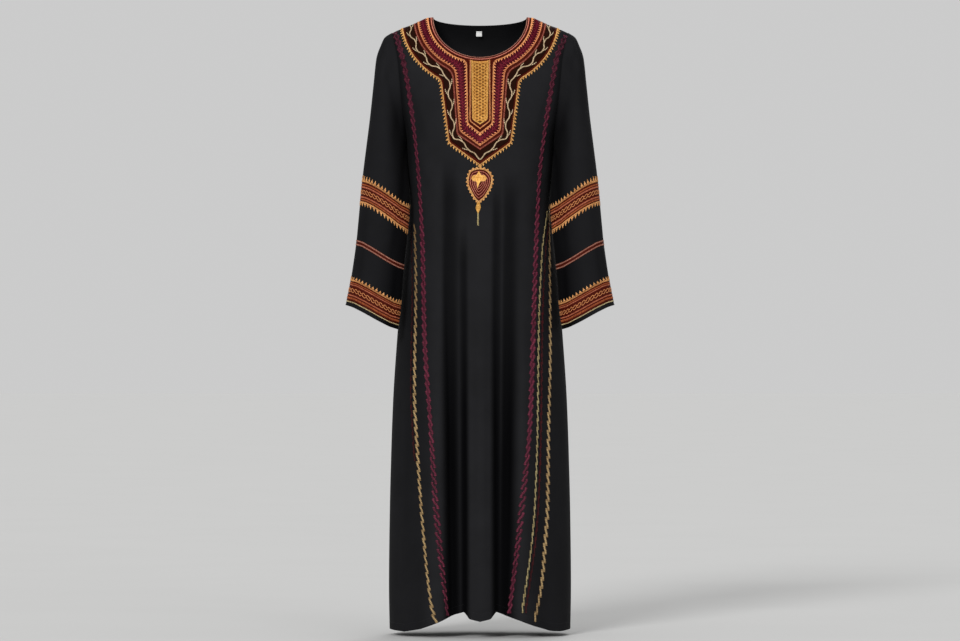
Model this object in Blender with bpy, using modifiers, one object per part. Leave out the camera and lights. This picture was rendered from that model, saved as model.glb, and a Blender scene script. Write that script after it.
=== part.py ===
"""A long-sleeved black abaya, worn and hollow, with embroidered yoke and sleeve bands.

Metres, +Z up. The front faces -Y and +X is the wearer's left. The origin lies midway
between the two high shoulder points, where the wearer's shoulders carry the gown.
Every wall is cloth, and every sewn piece is its own solid.
"""

import math
from collections import namedtuple

import bmesh
import bpy
from mathutils import Matrix, Vector
from mathutils.bvhtree import BVHTree

# Cloth and seams
WALL = 0.0015           # thickness of the gown's cloth
SEAM = 0.0003           # gap between two sewn pieces
TRIM = 0.0010           # thickness of an embroidered piece
TRIM_GAP = 0.0004       # gap between an embroidered piece and the cloth under it
ARMHOLE_GAP = 0.0004    # gap between the armhole's edge and the sleeve's head

# Neck and shoulders
NECK_HALF = 0.1065      # half the neck opening's width, at the high shoulder points
NECK_DROP_FRONT = 0.094
NECK_DROP_BACK = 0.016
SHOULDER_HALF = 0.2015  # half the width across the shoulder seams' outer ends
SHOULDER_Z = -0.0355
UNDERARM_Z = -0.280
HEM_BACK_Z = -1.362
HEM_BACK_WAVE = 0.003       # height of the back hem's waves, and how many there are
HEM_BACK_WAVES = 5

# How a level section rounds: 2 is an ellipse, more is squarer
ROUND = 2.4
# Depth of the armhole's edge, as a share of the section's depth at the shoulder
ARMHOLE_SHARE_FRONT = 0.78
ARMHOLE_SHARE_BACK = 0.66

Edge = namedtuple("Edge", "z half_width")
EDGES = [
    Edge(-0.0355, 0.2015),
    Edge(-0.065, 0.1945),
    Edge(-0.097, 0.1880),
    Edge(-0.122, 0.1855),
    Edge(-0.200, 0.1775),
    Edge(-0.280, 0.1680),
    Edge(-0.345, 0.1655),
    Edge(-0.420, 0.1640),
    Edge(-0.500, 0.1675),
    Edge(-0.600, 0.1785),
    Edge(-0.738, 0.1900),
    Edge(-0.876, 0.1990),
    Edge(-1.000, 0.2035),
    Edge(-1.150, 0.2070),
    Edge(-1.300, 0.2085),
    Edge(-1.400, 0.2070),
]

Depth = namedtuple("Depth", "z front back")
DEPTHS = [
    Depth(0.000, 0.072, 0.068),
    Depth(-0.050, 0.076, 0.086),
    Depth(-0.100, 0.083, 0.098),
    Depth(-0.180, 0.106, 0.107),
    Depth(-0.270, 0.122, 0.105),
    Depth(-0.400, 0.127, 0.101),
    Depth(-0.600, 0.132, 0.114),
    Depth(-0.900, 0.146, 0.127),
    Depth(-1.200, 0.160, 0.139),
    Depth(-1.400, 0.170, 0.148),
]

Shoulder = namedtuple("Shoulder", "x z")
SHOULDERS = [
    Shoulder(0.1065, 0.0000),
    Shoulder(0.1190, -0.0012),
    Shoulder(0.1397, -0.0098),
    Shoulder(0.1600, -0.0190),
    Shoulder(0.1855, -0.0280),
    Shoulder(0.2015, -0.0355),
]

# How the cloth rolls over the shoulder seam: the drop over which it reaches its full
# depth, and the roundness of the roll near the neck and at the shoulder's end
Roll = namedtuple("Roll", "drop near_neck near_end")
ROLL_FRONT = Roll(0.120, 0.80, 0.62)
ROLL_BACK = Roll(0.080, 0.55, 0.60)

# Vertical folds. A positive depth is a valley, a negative one a ridge. Left and right
# are the widths of its two slopes.
Fold = namedtuple("Fold", "top_x hem_x start_z full_z depth left right")
FRONT_FOLDS = [
    Fold(-0.074, -0.062, -0.290, -1.150, 0.032, 0.013, 0.021),
    Fold(-0.037, -0.034, -0.450, -1.350, 0.011, 0.011, 0.008),
    Fold(0.037, 0.037, -0.350, -1.100, 0.018, 0.008, 0.012),
    Fold(0.067, 0.053, -0.330, -1.200, 0.026, 0.013, 0.022),
    Fold(0.004, 0.002, -0.300, -1.000, -0.007, 0.024, 0.024),
    Fold(-0.098, -0.104, -0.300, -1.000, -0.009, 0.022, 0.020),
    Fold(0.094, 0.098, -0.320, -1.000, -0.009, 0.020, 0.024),
    Fold(-0.138, -0.146, -0.600, -1.300, 0.010, 0.024, 0.020),
    Fold(0.134, 0.143, -0.620, -1.300, 0.009, 0.020, 0.022),
]
BACK_FOLDS = [
    Fold(-0.088, -0.102, -0.400, -1.200, 0.024, 0.020, 0.020),
    Fold(-0.034, -0.042, -0.360, -1.250, 0.016, 0.014, 0.018),
    Fold(0.030, 0.034, -0.380, -1.200, 0.020, 0.016, 0.018),
    Fold(0.092, 0.096, -0.420, -1.250, 0.022, 0.020, 0.022),
    Fold(-0.002, -0.004, -0.360, -1.100, -0.006, 0.020, 0.020),
]

# The front hem dips at the sides and has a short tongue between two fold lines
Hem = namedtuple("Hem", "x z")
FRONT_HEM = [
    Hem(-0.207, -1.3980),
    Hem(-0.172, -1.4000),
    Hem(-0.137, -1.3930),
    Hem(-0.092, -1.3750),
    Hem(-0.057, -1.3590),
    Hem(-0.036, -1.3525),
    Hem(-0.024, -1.3680),
    Hem(0.000, -1.3735),
    Hem(0.024, -1.3680),
    Hem(0.037, -1.3525),
    Hem(0.057, -1.3610),
    Hem(0.092, -1.3725),
    Hem(0.126, -1.3860),
    Hem(0.160, -1.3975),
    Hem(0.183, -1.4000),
    Hem(0.207, -1.3980),
]

# The grid of the body's cloth
NECK_COLUMNS_FRONT = 26     # across the front neckline
NECK_COLUMNS_BACK = 14      # across the back neckline
SIDE_COLUMNS = 8            # from a high shoulder point to the armhole or side seam
ARMHOLE_ROWS = 10           # from the shoulder seam to the underarm
SKIRT_ROWS = 18             # from the underarm to the hem
NECK_BUNCHING = 1.6         # how the columns draw together at the neck opening's ends
SIDE_BUNCHING = 1.9         # and at the side seams

# A sleeve's rings, each with its outermost and innermost point as seen from the
# front, how far forward it hangs, half its depth, and the rows up to the next ring.
# The armhole itself is the ring before the first.
Ring = namedtuple("Ring", "outer_x outer_z inner_x inner_z forward half_depth rows")
FIRST_ROWS = 1              # rows between the armhole and the first ring
SLEEVE = [
    Ring(0.2176, -0.0465, 0.1686, -0.2890, 0.001, 0.0550, 1),
    Ring(0.2267, -0.0650, 0.1680, -0.3010, 0.000, 0.0590, 1),
    Ring(0.2360, -0.0920, 0.1675, -0.3180, 0.004, 0.0625, 2),
    Ring(0.2427, -0.1540, 0.1660, -0.3440, 0.015, 0.0630, 2),
    Ring(0.2496, -0.2230, 0.1635, -0.3750, 0.031, 0.0620, 3),
    Ring(0.2666, -0.3664, 0.1610, -0.4243, 0.061, 0.0550, 2),
    Ring(0.2730, -0.4347, 0.1655, -0.4908, 0.071, 0.0515, 2),
    Ring(0.2800, -0.5109, 0.1735, -0.5670, 0.077, 0.0505, 1),
    Ring(0.2812, -0.5210, 0.1745, -0.5770, 0.078, 0.0505, 2),
    Ring(0.2920, -0.5950, 0.1800, -0.6497, 0.082, 0.0505, 2),
    Ring(0.3023, -0.6480, 0.1862, -0.7026, 0.085, 0.0510, 1),
    Ring(0.3046, -0.6580, 0.1878, -0.7130, 0.086, 0.0510, 0),
]
RING_BOW = -0.05            # how a ring bows out of a flat plane, seen from the front

# A soft trough down the front of each sleeve: its angle round the ring, its half
# angle, its depth, and the ring where it starts and where it is full
TROUGH_ANGLE = math.radians(84)
TROUGH_SPREAD = math.radians(26)
TROUGH_DEPTH = 0.005
TROUGH_START = 6.0
TROUGH_FULL = 8.0

# The embroidered sleeve bands, as the rings that bound them
Band = namedtuple("Band", "name first last")
BANDS = [
    Band("upper_band", 6, 7),
    Band("stripe", 8, 9),
    Band("cuff_band", 10, 11),
]

# The yoke: a band round the neck that runs down into a pointed plastron
YOKE_WIDTH = 0.0825         # from the neck's edge to the band's outer edge
YOKE_HALF = 0.0925          # the plastron's half width where it leaves the band
YOKE_CORNER_HALF = 0.0758   # its half width at its lower corners
YOKE_CORNER_Z = -0.2925
YOKE_TIP_Z = -0.3475
YOKE_ARC_STEPS = 14
YOKE_NECK_MARGIN = 0.0015   # bare cloth between the neck's edge and the yoke

# The pendant under the yoke's tip: a drop, a bead and a tail, with its centre line
Pendant = namedtuple("Pendant", "z half_width centre_x")
PENDANT = [
    Pendant(-0.3501, 0.0045, 0.0000),
    Pendant(-0.3526, 0.0190, -0.0005),
    Pendant(-0.3620, 0.0275, -0.0005),
    Pendant(-0.3750, 0.0317, -0.0005),
    Pendant(-0.3870, 0.0295, -0.0005),
    Pendant(-0.3980, 0.0249, -0.0006),
    Pendant(-0.4090, 0.0198, -0.0008),
    Pendant(-0.4204, 0.0135, -0.0014),
    Pendant(-0.4285, 0.0042, -0.0034),
    Pendant(-0.4330, 0.0052, -0.0038),
    Pendant(-0.4385, 0.0062, -0.0040),
    Pendant(-0.4450, 0.0042, -0.0042),
    Pendant(-0.4500, 0.0027, -0.0044),
    Pendant(-0.4780, 0.0025, -0.0045),
]

LABEL_WIDTH = 0.013
LABEL_HEIGHT = 0.011
LABEL_THICKNESS = 0.0006
LABEL_X = -0.0022
LABEL_TOP_Z = -0.0281
LABEL_STEPS = 2

# Blocks that only cut: the one that parts front from back and the outlines' depth
HALF_BLOCK = Vector((1.2, 0.6, 2.0))
HALF_BLOCK_Z = -0.7
CUT_DEPTH = 0.6
CUT_MARGIN = 0.05           # how far a patch or an outline runs past what is kept

BLACK = (0.010, 0.010, 0.011, 1.0)
GOLD = (0.60, 0.33, 0.08, 1.0)
RUST = (0.45, 0.13, 0.05, 1.0)
WHITE = (0.80, 0.80, 0.78, 1.0)


def clamp(value):
    return max(0.0, min(1.0, value))


def smooth(value):
    t = clamp(value)
    return t * t * (3.0 - 2.0 * t)


def mix(a, b, share):
    return a + (b - a) * share


def through(table, key, value):
    """Returns a smooth function through a table's rows that never overshoots them."""
    rows = sorted((getattr(row, key), getattr(row, value)) for row in table)
    steps = [
        (after[1] - before[1]) / (after[0] - before[0])
        for before, after in zip(rows, rows[1:])
    ]
    slopes = [steps[0]]
    for low, high in zip(steps, steps[1:]):
        slopes.append(0.0 if low * high <= 0.0 else 2.0 * low * high / (low + high))
    slopes.append(steps[-1])

    def at(where):
        where = max(rows[0][0], min(rows[-1][0], where))
        index = 0
        while index < len(rows) - 2 and where > rows[index + 1][0]:
            index += 1
        (x0, y0), (x1, y1) = rows[index], rows[index + 1]
        width = x1 - x0
        t = (where - x0) / width
        return (
            y0 * (1.0 + 2.0 * t) * (1.0 - t) ** 2
            + slopes[index] * width * t * (1.0 - t) ** 2
            + y1 * t * t * (3.0 - 2.0 * t)
            + slopes[index + 1] * width * t * t * (t - 1.0)
        )

    return at


edge_x = through(EDGES, "z", "half_width")
front_depth = through(DEPTHS, "z", "front")
back_depth = through(DEPTHS, "z", "back")
shoulder_line = through(SHOULDERS, "x", "z")


def straight(table, where):
    """The height of a hem outline at one place, on straight lines between its rows."""
    for before, after in zip(table, table[1:]):
        if where <= after.x:
            share = clamp((where - before.x) / (after.x - before.x))
            return mix(before.z, after.z, share)
    return table[-1].z


def roll_over(x, z, roll):
    """How much of its full depth the cloth has reached below the shoulder seam."""
    drop = max(0.0, shoulder_line(abs(x)) - z)
    toward_end = smooth((abs(x) - NECK_HALF) / (SHOULDER_HALF - NECK_HALF))
    power = mix(roll.near_neck, roll.near_end, toward_end)
    return math.sin(0.5 * math.pi * clamp(drop / roll.drop)) ** power


def section(x, z, depth, armhole_share):
    """The depth of a level section at x: nothing at the side seam, full at the middle."""
    above_underarm = clamp((z - UNDERARM_Z) / (SHOULDER_Z - UNDERARM_Z))
    edge_share = armhole_share * math.sqrt(above_underarm)
    reach = (1.0 - edge_share**2) ** (1.0 / ROUND)
    across = min(1.0, abs(x) / edge_x(z) * reach)
    return depth * math.sqrt(max(0.0, 1.0 - across**ROUND))


def folds(table, x, z, hem_z):
    """How far the folds of a panel draw it inward at one place."""
    inward = 0.0
    for fold in table:
        along = clamp((z - fold.start_z) / (hem_z - fold.start_z))
        centre = mix(fold.top_x, fold.hem_x, along)
        grown = smooth((fold.start_z - z) / (fold.start_z - fold.full_z))
        spread = fold.left if x < centre else fold.right
        inward += fold.depth * grown * math.exp(-(((x - centre) / spread) ** 2))
    return inward


def front_y(x, z):
    depth = section(x, z, front_depth(z), ARMHOLE_SHARE_FRONT) * roll_over(x, z, ROLL_FRONT)
    return -depth + folds(FRONT_FOLDS, x, z, HEM_BACK_Z)


def back_y(x, z):
    depth = section(x, z, back_depth(z), ARMHOLE_SHARE_BACK) * roll_over(x, z, ROLL_BACK)
    return depth - folds(BACK_FOLDS, x, z, HEM_BACK_Z)


def front_hem_z(x):
    return straight(FRONT_HEM, x)


def back_hem_z(x):
    side = abs(x) / edge_x(HEM_BACK_Z)
    wave = HEM_BACK_WAVE * math.cos(HEM_BACK_WAVES * math.pi * side)
    return mix(HEM_BACK_Z + wave * (1.0 - side**2), FRONT_HEM[0].z, side**4)


def top_z(across, drop):
    """The height of a panel's top edge: the neckline, or else the shoulder seam."""
    x = abs(across) * SHOULDER_HALF
    if x < NECK_HALF:
        return -drop * math.sqrt(1.0 - (x / NECK_HALF) ** 2)
    return shoulder_line(x)


def columns(neck_columns):
    """The places of a panel's columns, from -1 at one side to 1 at the other."""
    neck = NECK_HALF / SHOULDER_HALF
    half = [
        neck * (1.0 - (1.0 - 2.0 * i / neck_columns) ** NECK_BUNCHING)
        for i in range(neck_columns // 2 + 1)
    ]
    half += [
        mix(neck, 1.0, 1.0 - (1.0 - i / SIDE_COLUMNS) ** SIDE_BUNCHING)
        for i in range(1, SIDE_COLUMNS + 1)
    ]
    return [-place for place in reversed(half[1:])] + half


def armhole_step(row):
    """How far down the armhole a row lies, with the rows closer at its two ends."""
    return 0.5 * (1.0 - math.cos(math.pi * row / ARMHOLE_ROWS))


def panel_grid(places, surface_y, hem_z, drop):
    """The points of a body panel, a row at a time from its top edge to its hem."""
    rows = []
    for row in range(ARMHOLE_ROWS + SKIRT_ROWS + 1):
        points = []
        for across in places:
            if row <= ARMHOLE_ROWS:
                z = mix(top_z(across, drop), UNDERARM_Z, armhole_step(row))
            else:
                hem = hem_z(across * edge_x(HEM_BACK_Z))
                z = mix(UNDERARM_Z, hem, (row - ARMHOLE_ROWS) / SKIRT_ROWS)
            x = across * edge_x(z)
            points.append(Vector((x, surface_y(x, z), z)))
        rows.append(points)
    return rows


def add_grid(mesh, rows, flip=False, closed=False):
    """Adds a grid of points to a bmesh as a surface that faces outward."""
    grid = [[mesh.verts.new(point) for point in row] for row in rows]
    count = len(rows[0])
    for upper, lower in zip(grid, grid[1:]):
        for i in range(count if closed else count - 1):
            j = (i + 1) % count
            corners = [upper[i], lower[i], lower[j], upper[j]]
            mesh.faces.new(reversed(corners) if flip else corners)


def new_object(name, mesh, collection, colour=None, roughness=0.8):
    thing = bpy.data.objects.new(name, mesh)
    collection.objects.link(thing)
    if colour:
        material = bpy.data.materials.get(name) or bpy.data.materials.new(name)
        material.use_nodes = True
        shader = material.node_tree.nodes["Principled BSDF"]
        shader.inputs["Base Color"].default_value = colour
        shader.inputs["Roughness"].default_value = roughness
        shader.inputs["Metallic"].default_value = 0.0
        mesh.materials.append(material)
        mesh.shade_smooth()
    return thing


def solidify(thing, thickness):
    wall = thing.modifiers.new("cloth wall", "SOLIDIFY")
    wall.thickness = thickness
    wall.offset = -1.0
    wall.use_quality_normals = True


def keep_inside(thing, cutter, solver="EXACT"):
    cut = thing.modifiers.new("cut out", "BOOLEAN")
    cut.operation = "INTERSECT"
    cut.object = cutter
    cut.solver = solver


def as_cutter(thing):
    thing.hide_render = True
    thing.display_type = "WIRE"
    return thing


def body_surface():
    """The front and back as one surface, joined along the shoulder and side seams."""
    mesh = bmesh.new()
    front = panel_grid(
        columns(NECK_COLUMNS_FRONT), front_y, front_hem_z, NECK_DROP_FRONT
    )
    back = panel_grid(columns(NECK_COLUMNS_BACK), back_y, back_hem_z, NECK_DROP_BACK)
    add_grid(mesh, front)
    add_grid(mesh, back, flip=True)
    bmesh.ops.remove_doubles(mesh, verts=mesh.verts, dist=0.00002)
    bmesh.ops.triangulate(mesh, faces=mesh.faces)
    mesh.normal_update()
    return mesh


def half_space(name, side, collection):
    """A block that holds everything on one side of the seams' plane."""
    y = side * 0.5 * (HALF_BLOCK.y + SEAM)
    bpy.ops.mesh.primitive_cube_add(size=1.0, location=(0.0, y, HALF_BLOCK_Z))
    block = bpy.context.object
    block.name = name
    block.data.transform(Matrix.Diagonal((*HALF_BLOCK, 1.0)))
    for old in block.users_collection:
        old.objects.unlink(block)
    collection.objects.link(block)
    return as_cutter(block)


def body_panel(name, surface, side, parts, cutters):
    mesh = bpy.data.meshes.new(name)
    surface.to_mesh(mesh)
    panel = new_object(name, mesh, parts, BLACK)
    solidify(panel, WALL)
    keep_inside(panel, half_space(f"{name}_side", side, cutters))
    return panel


def armhole_point(row, back):
    """A point of the armhole's edge, at one of the body's own rows."""
    z = mix(SHOULDER_Z, UNDERARM_Z, armhole_step(row))
    x = edge_x(z)
    y = back_y(x, z) if back else front_y(x, z)
    return Vector((x + ARMHOLE_GAP, y, z))


def armhole_ring():
    front = [armhole_point(row, back=False) for row in range(ARMHOLE_ROWS + 1)]
    back = [armhole_point(row, back=True) for row in range(ARMHOLE_ROWS - 1, 0, -1)]
    return front + back


def sleeve_ring(ring):
    """One ring of a sleeve, from its outermost point round by the front."""
    count = 2 * ARMHOLE_ROWS
    outer = Vector((ring.outer_x, -ring.forward, ring.outer_z))
    inner = Vector((ring.inner_x, -ring.forward, ring.inner_z))
    points = []
    for i in range(count):
        angle = 2.0 * math.pi * i / count
        across = math.cos(angle)
        bowed = across + RING_BOW * (math.cos(3.0 * angle) - across)
        point = (outer + inner) / 2.0 + (outer - inner) / 2.0 * across
        point.z = mix(inner.z, outer.z, 0.5 + 0.5 * bowed)
        point.y -= ring.half_depth * math.sin(angle)
        points.append(point)
    return points


def trough(place, angle):
    """How far the soft trough draws the sleeve's front inward."""
    grown = smooth((place - TROUGH_START) / (TROUGH_FULL - TROUGH_START))
    return TROUGH_DEPTH * grown * math.exp(-(((angle - TROUGH_ANGLE) / TROUGH_SPREAD) ** 2))


def sleeve_rows():
    """Every row of a sleeve, smoothly drawn through its rings, and each ring's row."""
    rings = [armhole_ring()] + [sleeve_ring(ring) for ring in SLEEVE]
    spans = [FIRST_ROWS] + [ring.rows for ring in SLEEVE[:-1]]
    Key = namedtuple("Key", "place x y z")
    count = len(rings[0])
    paths = []
    for i in range(count):
        keys = [Key(k, *ring[i]) for k, ring in enumerate(rings)]
        paths.append([through(keys, "place", axis) for axis in ("x", "y", "z")])
    places = [
        k + step / rows for k, rows in enumerate(spans) for step in range(rows)
    ] + [float(len(rings) - 1)]
    rows = []
    for place in places:
        points = [Vector(axis(place) for axis in path) for path in paths]
        for i, point in enumerate(points):
            point.y += trough(place, 2.0 * math.pi * i / count)
        rows.append(points)
    return rows, {round(place, 6): index for index, place in enumerate(places)}


def tube(rows, side, lift=0.0):
    """A sleeve or band as an open tube, mirrored for the other side, and moved out."""
    mesh = bmesh.new()
    placed = [[Vector((side * p.x, p.y, p.z)) for p in row] for row in rows]
    add_grid(mesh, placed, flip=side > 0, closed=True)
    mesh.normal_update()
    lifted = [vertex.co + vertex.normal * lift for vertex in mesh.verts]
    for vertex, place in zip(mesh.verts, lifted):
        vertex.co = place
    return mesh


def sleeve(side_name, side, rows, row_of_ring, parts):
    """A sleeve and the embroidered bands that lie on it."""
    mesh = bpy.data.meshes.new(f"sleeve_{side_name}")
    tube(rows, side).to_mesh(mesh)
    solidify(new_object(f"sleeve_{side_name}", mesh, parts, BLACK), WALL)
    for band in BANDS:
        first = row_of_ring[float(band.first)]
        last = row_of_ring[float(band.last)]
        name = f"{band.name}_{side_name}"
        mesh = bpy.data.meshes.new(name)
        tube(rows[first : last + 1], side, lift=TRIM_GAP + TRIM).to_mesh(mesh)
        solidify(new_object(name, mesh, parts, RUST), TRIM)


def outline_cutter(name, points, cutters):
    """A flat outline seen from the front, made a block that reaches through the front."""
    curve = bpy.data.curves.new(name, "CURVE")
    curve.dimensions = "2D"
    curve.fill_mode = "BOTH"
    curve.extrude = CUT_DEPTH / 2.0
    spline = curve.splines.new("POLY")
    spline.points.add(len(points) - 1)
    for place, (x, z) in zip(spline.points, points):
        place.co = (x, z, 0.0, 1.0)
    spline.use_cyclic_u = True
    drawn = new_object(f"{name}_outline", curve, cutters)
    drawn.location = (0.0, -CUT_DEPTH / 2.0, 0.0)
    drawn.rotation_euler = (math.pi / 2.0, 0.0, 0.0)
    bpy.context.view_layer.update()
    graph = bpy.context.evaluated_depsgraph_get()
    mesh = bpy.data.meshes.new_from_object(drawn.evaluated_get(graph))
    welded = bmesh.new()
    welded.from_mesh(mesh)
    bmesh.ops.remove_doubles(welded, verts=welded.verts, dist=0.00001)
    bmesh.ops.recalc_face_normals(welded, faces=welded.faces)
    welded.to_mesh(mesh)
    block = new_object(f"{name}_cutter", mesh, cutters)
    block.matrix_world = drawn.matrix_world
    bpy.data.objects.remove(drawn)
    return as_cutter(block)


def front_patch(surface, name, low_z, high_z, half_width):
    """A piece of the front's own surface, moved out to lie on it."""
    patch = bmesh.new()
    made = {}
    for face in surface.faces:
        centre = face.calc_center_median()
        inside = low_z < centre.z < high_z and abs(centre.x) < half_width
        if centre.y > 0.0 or not inside:
            continue
        for vertex in face.verts:
            if vertex not in made:
                lifted = vertex.co + vertex.normal * (TRIM_GAP + TRIM)
                made[vertex] = patch.verts.new(lifted)
        patch.faces.new([made[vertex] for vertex in face.verts])
    mesh = bpy.data.meshes.new(name)
    patch.to_mesh(mesh)
    return mesh


def neck_arc(margin, end_angle, steps):
    """An arc round the neck, from beside the wearer's left shoulder down to an angle."""
    half_width = NECK_HALF + margin
    drop = NECK_DROP_FRONT + margin
    angles = [end_angle * i / steps for i in range(steps + 1)]
    return [(half_width * math.cos(a), -drop * math.sin(a)) for a in angles]


def yoke_outline():
    """The yoke: an arc from each shoulder, then down to a point, open round the neck."""
    join = math.acos(YOKE_HALF / (NECK_HALF + YOKE_WIDTH))
    outer = neck_arc(YOKE_WIDTH, join, YOKE_ARC_STEPS)
    outer.append((YOKE_CORNER_HALF, YOKE_CORNER_Z))
    inner = neck_arc(YOKE_NECK_MARGIN, math.pi, 2 * YOKE_ARC_STEPS)
    right_side = [(-x, z) for x, z in outer]
    return (
        [(inner[-1][0], CUT_MARGIN), (right_side[0][0], CUT_MARGIN)]
        + right_side
        + [(0.0, YOKE_TIP_Z)]
        + list(reversed(outer))
        + [(outer[0][0], CUT_MARGIN), (inner[0][0], CUT_MARGIN)]
        + inner
    )


def yoke(surface, parts, cutters):
    name = "yoke_embroidery"
    mesh = front_patch(surface, name, YOKE_TIP_Z - CUT_MARGIN, CUT_MARGIN, SHOULDER_HALF)
    thing = new_object(name, mesh, parts, GOLD)
    solidify(thing, TRIM)
    # The exact solver loses this patch, whose edge runs along the neck's own
    cutter = outline_cutter(name, yoke_outline(), cutters)
    keep_inside(thing, cutter, solver="MANIFOLD")


def pendant(surface, parts, cutters):
    name = "pendant_embroidery"
    low = PENDANT[-1].z - CUT_MARGIN
    mesh = front_patch(surface, name, low, YOKE_TIP_Z + CUT_MARGIN, CUT_MARGIN)
    right = [(row.centre_x + row.half_width, row.z) for row in PENDANT]
    left = [(row.centre_x - row.half_width, row.z) for row in reversed(PENDANT)]
    thing = new_object(name, mesh, parts, GOLD)
    solidify(thing, TRIM)
    keep_inside(thing, outline_cutter(name, right + left, cutters))


def size_label(back_panel, parts):
    """A blank label laid against the inside of the back neck, seen from the middle."""
    bpy.context.view_layer.update()
    graph = bpy.context.evaluated_depsgraph_get()
    cloth = BVHTree.FromObject(back_panel, graph)
    backward = Vector((0.0, 1.0, 0.0))
    rows = []
    for row in range(LABEL_STEPS + 1):
        z = LABEL_TOP_Z - LABEL_HEIGHT * row / LABEL_STEPS
        points = []
        for column in range(LABEL_STEPS + 1):
            x = LABEL_X + LABEL_WIDTH * (column / LABEL_STEPS - 0.5)
            hit, normal, _, _ = cloth.ray_cast(Vector((x, 0.0, z)), backward)
            points.append(hit + normal * (TRIM_GAP + LABEL_THICKNESS))
        rows.append(points)
    patch = bmesh.new()
    add_grid(patch, rows)
    mesh = bpy.data.meshes.new("size_label")
    patch.to_mesh(mesh)
    solidify(new_object("size_label", mesh, parts, WHITE), LABEL_THICKNESS)


def main():
    for thing in list(bpy.data.objects):
        bpy.data.objects.remove(thing)
    parts = bpy.data.collections.new("abaya")
    cutters = bpy.data.collections.new("cutters")
    bpy.context.scene.collection.children.link(parts)
    bpy.context.scene.collection.children.link(cutters)

    surface = body_surface()
    body_panel("front_panel", surface, -1, parts, cutters)
    back = body_panel("back_panel", surface, 1, parts, cutters)
    rows, row_of_ring = sleeve_rows()
    sleeve("left", 1, rows, row_of_ring, parts)
    sleeve("right", -1, rows, row_of_ring, parts)
    yoke(surface, parts, cutters)
    pendant(surface, parts, cutters)
    size_label(back, parts)


main()
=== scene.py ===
"""The looks of a long-sleeved black abaya: crepe cloth, and its embroidery stitch by stitch.

Metres, +Z up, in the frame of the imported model. The front faces -Y and +X is the
wearer's left. Each cloth shell lies on its solid's own form, worked out from the same
sizes, with finer creases. The embroidery is made of single raised stitches that are
laid on the cloth along rails round the neck, round the sleeves and down the front.
"""

import math
from collections import namedtuple

import bpy
import numpy as np
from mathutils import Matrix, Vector


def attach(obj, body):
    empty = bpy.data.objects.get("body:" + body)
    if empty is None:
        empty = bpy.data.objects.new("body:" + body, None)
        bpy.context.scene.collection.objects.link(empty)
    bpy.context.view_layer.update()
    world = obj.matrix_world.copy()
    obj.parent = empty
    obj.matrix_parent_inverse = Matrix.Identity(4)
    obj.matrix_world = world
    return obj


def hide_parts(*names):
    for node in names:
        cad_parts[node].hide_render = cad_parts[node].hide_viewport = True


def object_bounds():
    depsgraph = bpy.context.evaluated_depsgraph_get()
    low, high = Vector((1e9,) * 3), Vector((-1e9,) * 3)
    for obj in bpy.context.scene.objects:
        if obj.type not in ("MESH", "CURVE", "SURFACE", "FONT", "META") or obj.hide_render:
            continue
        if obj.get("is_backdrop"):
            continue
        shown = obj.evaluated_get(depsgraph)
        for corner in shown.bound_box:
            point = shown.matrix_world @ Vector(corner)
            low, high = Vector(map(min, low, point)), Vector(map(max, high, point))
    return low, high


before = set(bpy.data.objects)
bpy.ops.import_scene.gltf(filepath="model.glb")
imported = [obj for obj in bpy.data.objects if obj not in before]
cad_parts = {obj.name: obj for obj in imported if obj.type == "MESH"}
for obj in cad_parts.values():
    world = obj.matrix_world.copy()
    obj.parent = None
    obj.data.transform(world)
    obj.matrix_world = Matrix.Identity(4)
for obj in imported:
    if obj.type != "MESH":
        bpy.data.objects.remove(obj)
cad_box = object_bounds()
MM = 0.001


def table(fields, *rows):
    """Rows of values under the names of their columns."""
    kind = namedtuple("Row", fields)
    return [kind(*row) for row in rows]


def in_mm(fields, *rows):
    """The same, with every value in millimetres."""
    return table(fields, *[[value * MM for value in row] for row in rows])


# The gown's form, as in the solids
SEAM = 0.3 * MM
NECK_HALF = 0.1065
NECK_DROP_FRONT = 0.094
NECK_DROP_BACK = 0.016
SHOULDER_HALF = 0.2015
SHOULDER_Z = -0.0355
UNDERARM_Z = -0.280
HEM_BACK_Z = -1.362
HEM_BACK_WAVE = 0.003
HEM_BACK_WAVES = 5
ROUND = 2.4
ARMHOLE_GAP = 0.4 * MM
ARMHOLE_SHARE_FRONT = 0.78
ARMHOLE_SHARE_BACK = 0.66

EDGES = in_mm(
    "z half_width",
    (-35.5, 201.5), (-65, 194.5), (-97, 188), (-122, 185.5), (-200, 177.5), (-280, 168), (-345, 165.5),
    (-420, 164), (-500, 167.5), (-600, 178.5), (-738, 190), (-876, 199), (-1000, 203.5), (-1150, 207),
    (-1300, 208.5), (-1400, 207),
)

DEPTHS = in_mm(
    "z front back",
    (0, 72, 68), (-50, 76, 86), (-100, 83, 98), (-180, 106, 107), (-270, 122, 105), (-400, 127, 101),
    (-600, 132, 114), (-900, 146, 127), (-1200, 160, 139), (-1400, 170, 148),
)

SHOULDERS = in_mm(
    "x z",
    (106.5, 0), (119, -1.2), (139.7, -9.8), (160, -19), (185.5, -28), (201.5, -35.5),
)

Roll = namedtuple("Roll", "drop near_neck near_end")
ROLL_FRONT = Roll(0.120, 0.80, 0.62)
ROLL_BACK = Roll(0.080, 0.55, 0.60)

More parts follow.
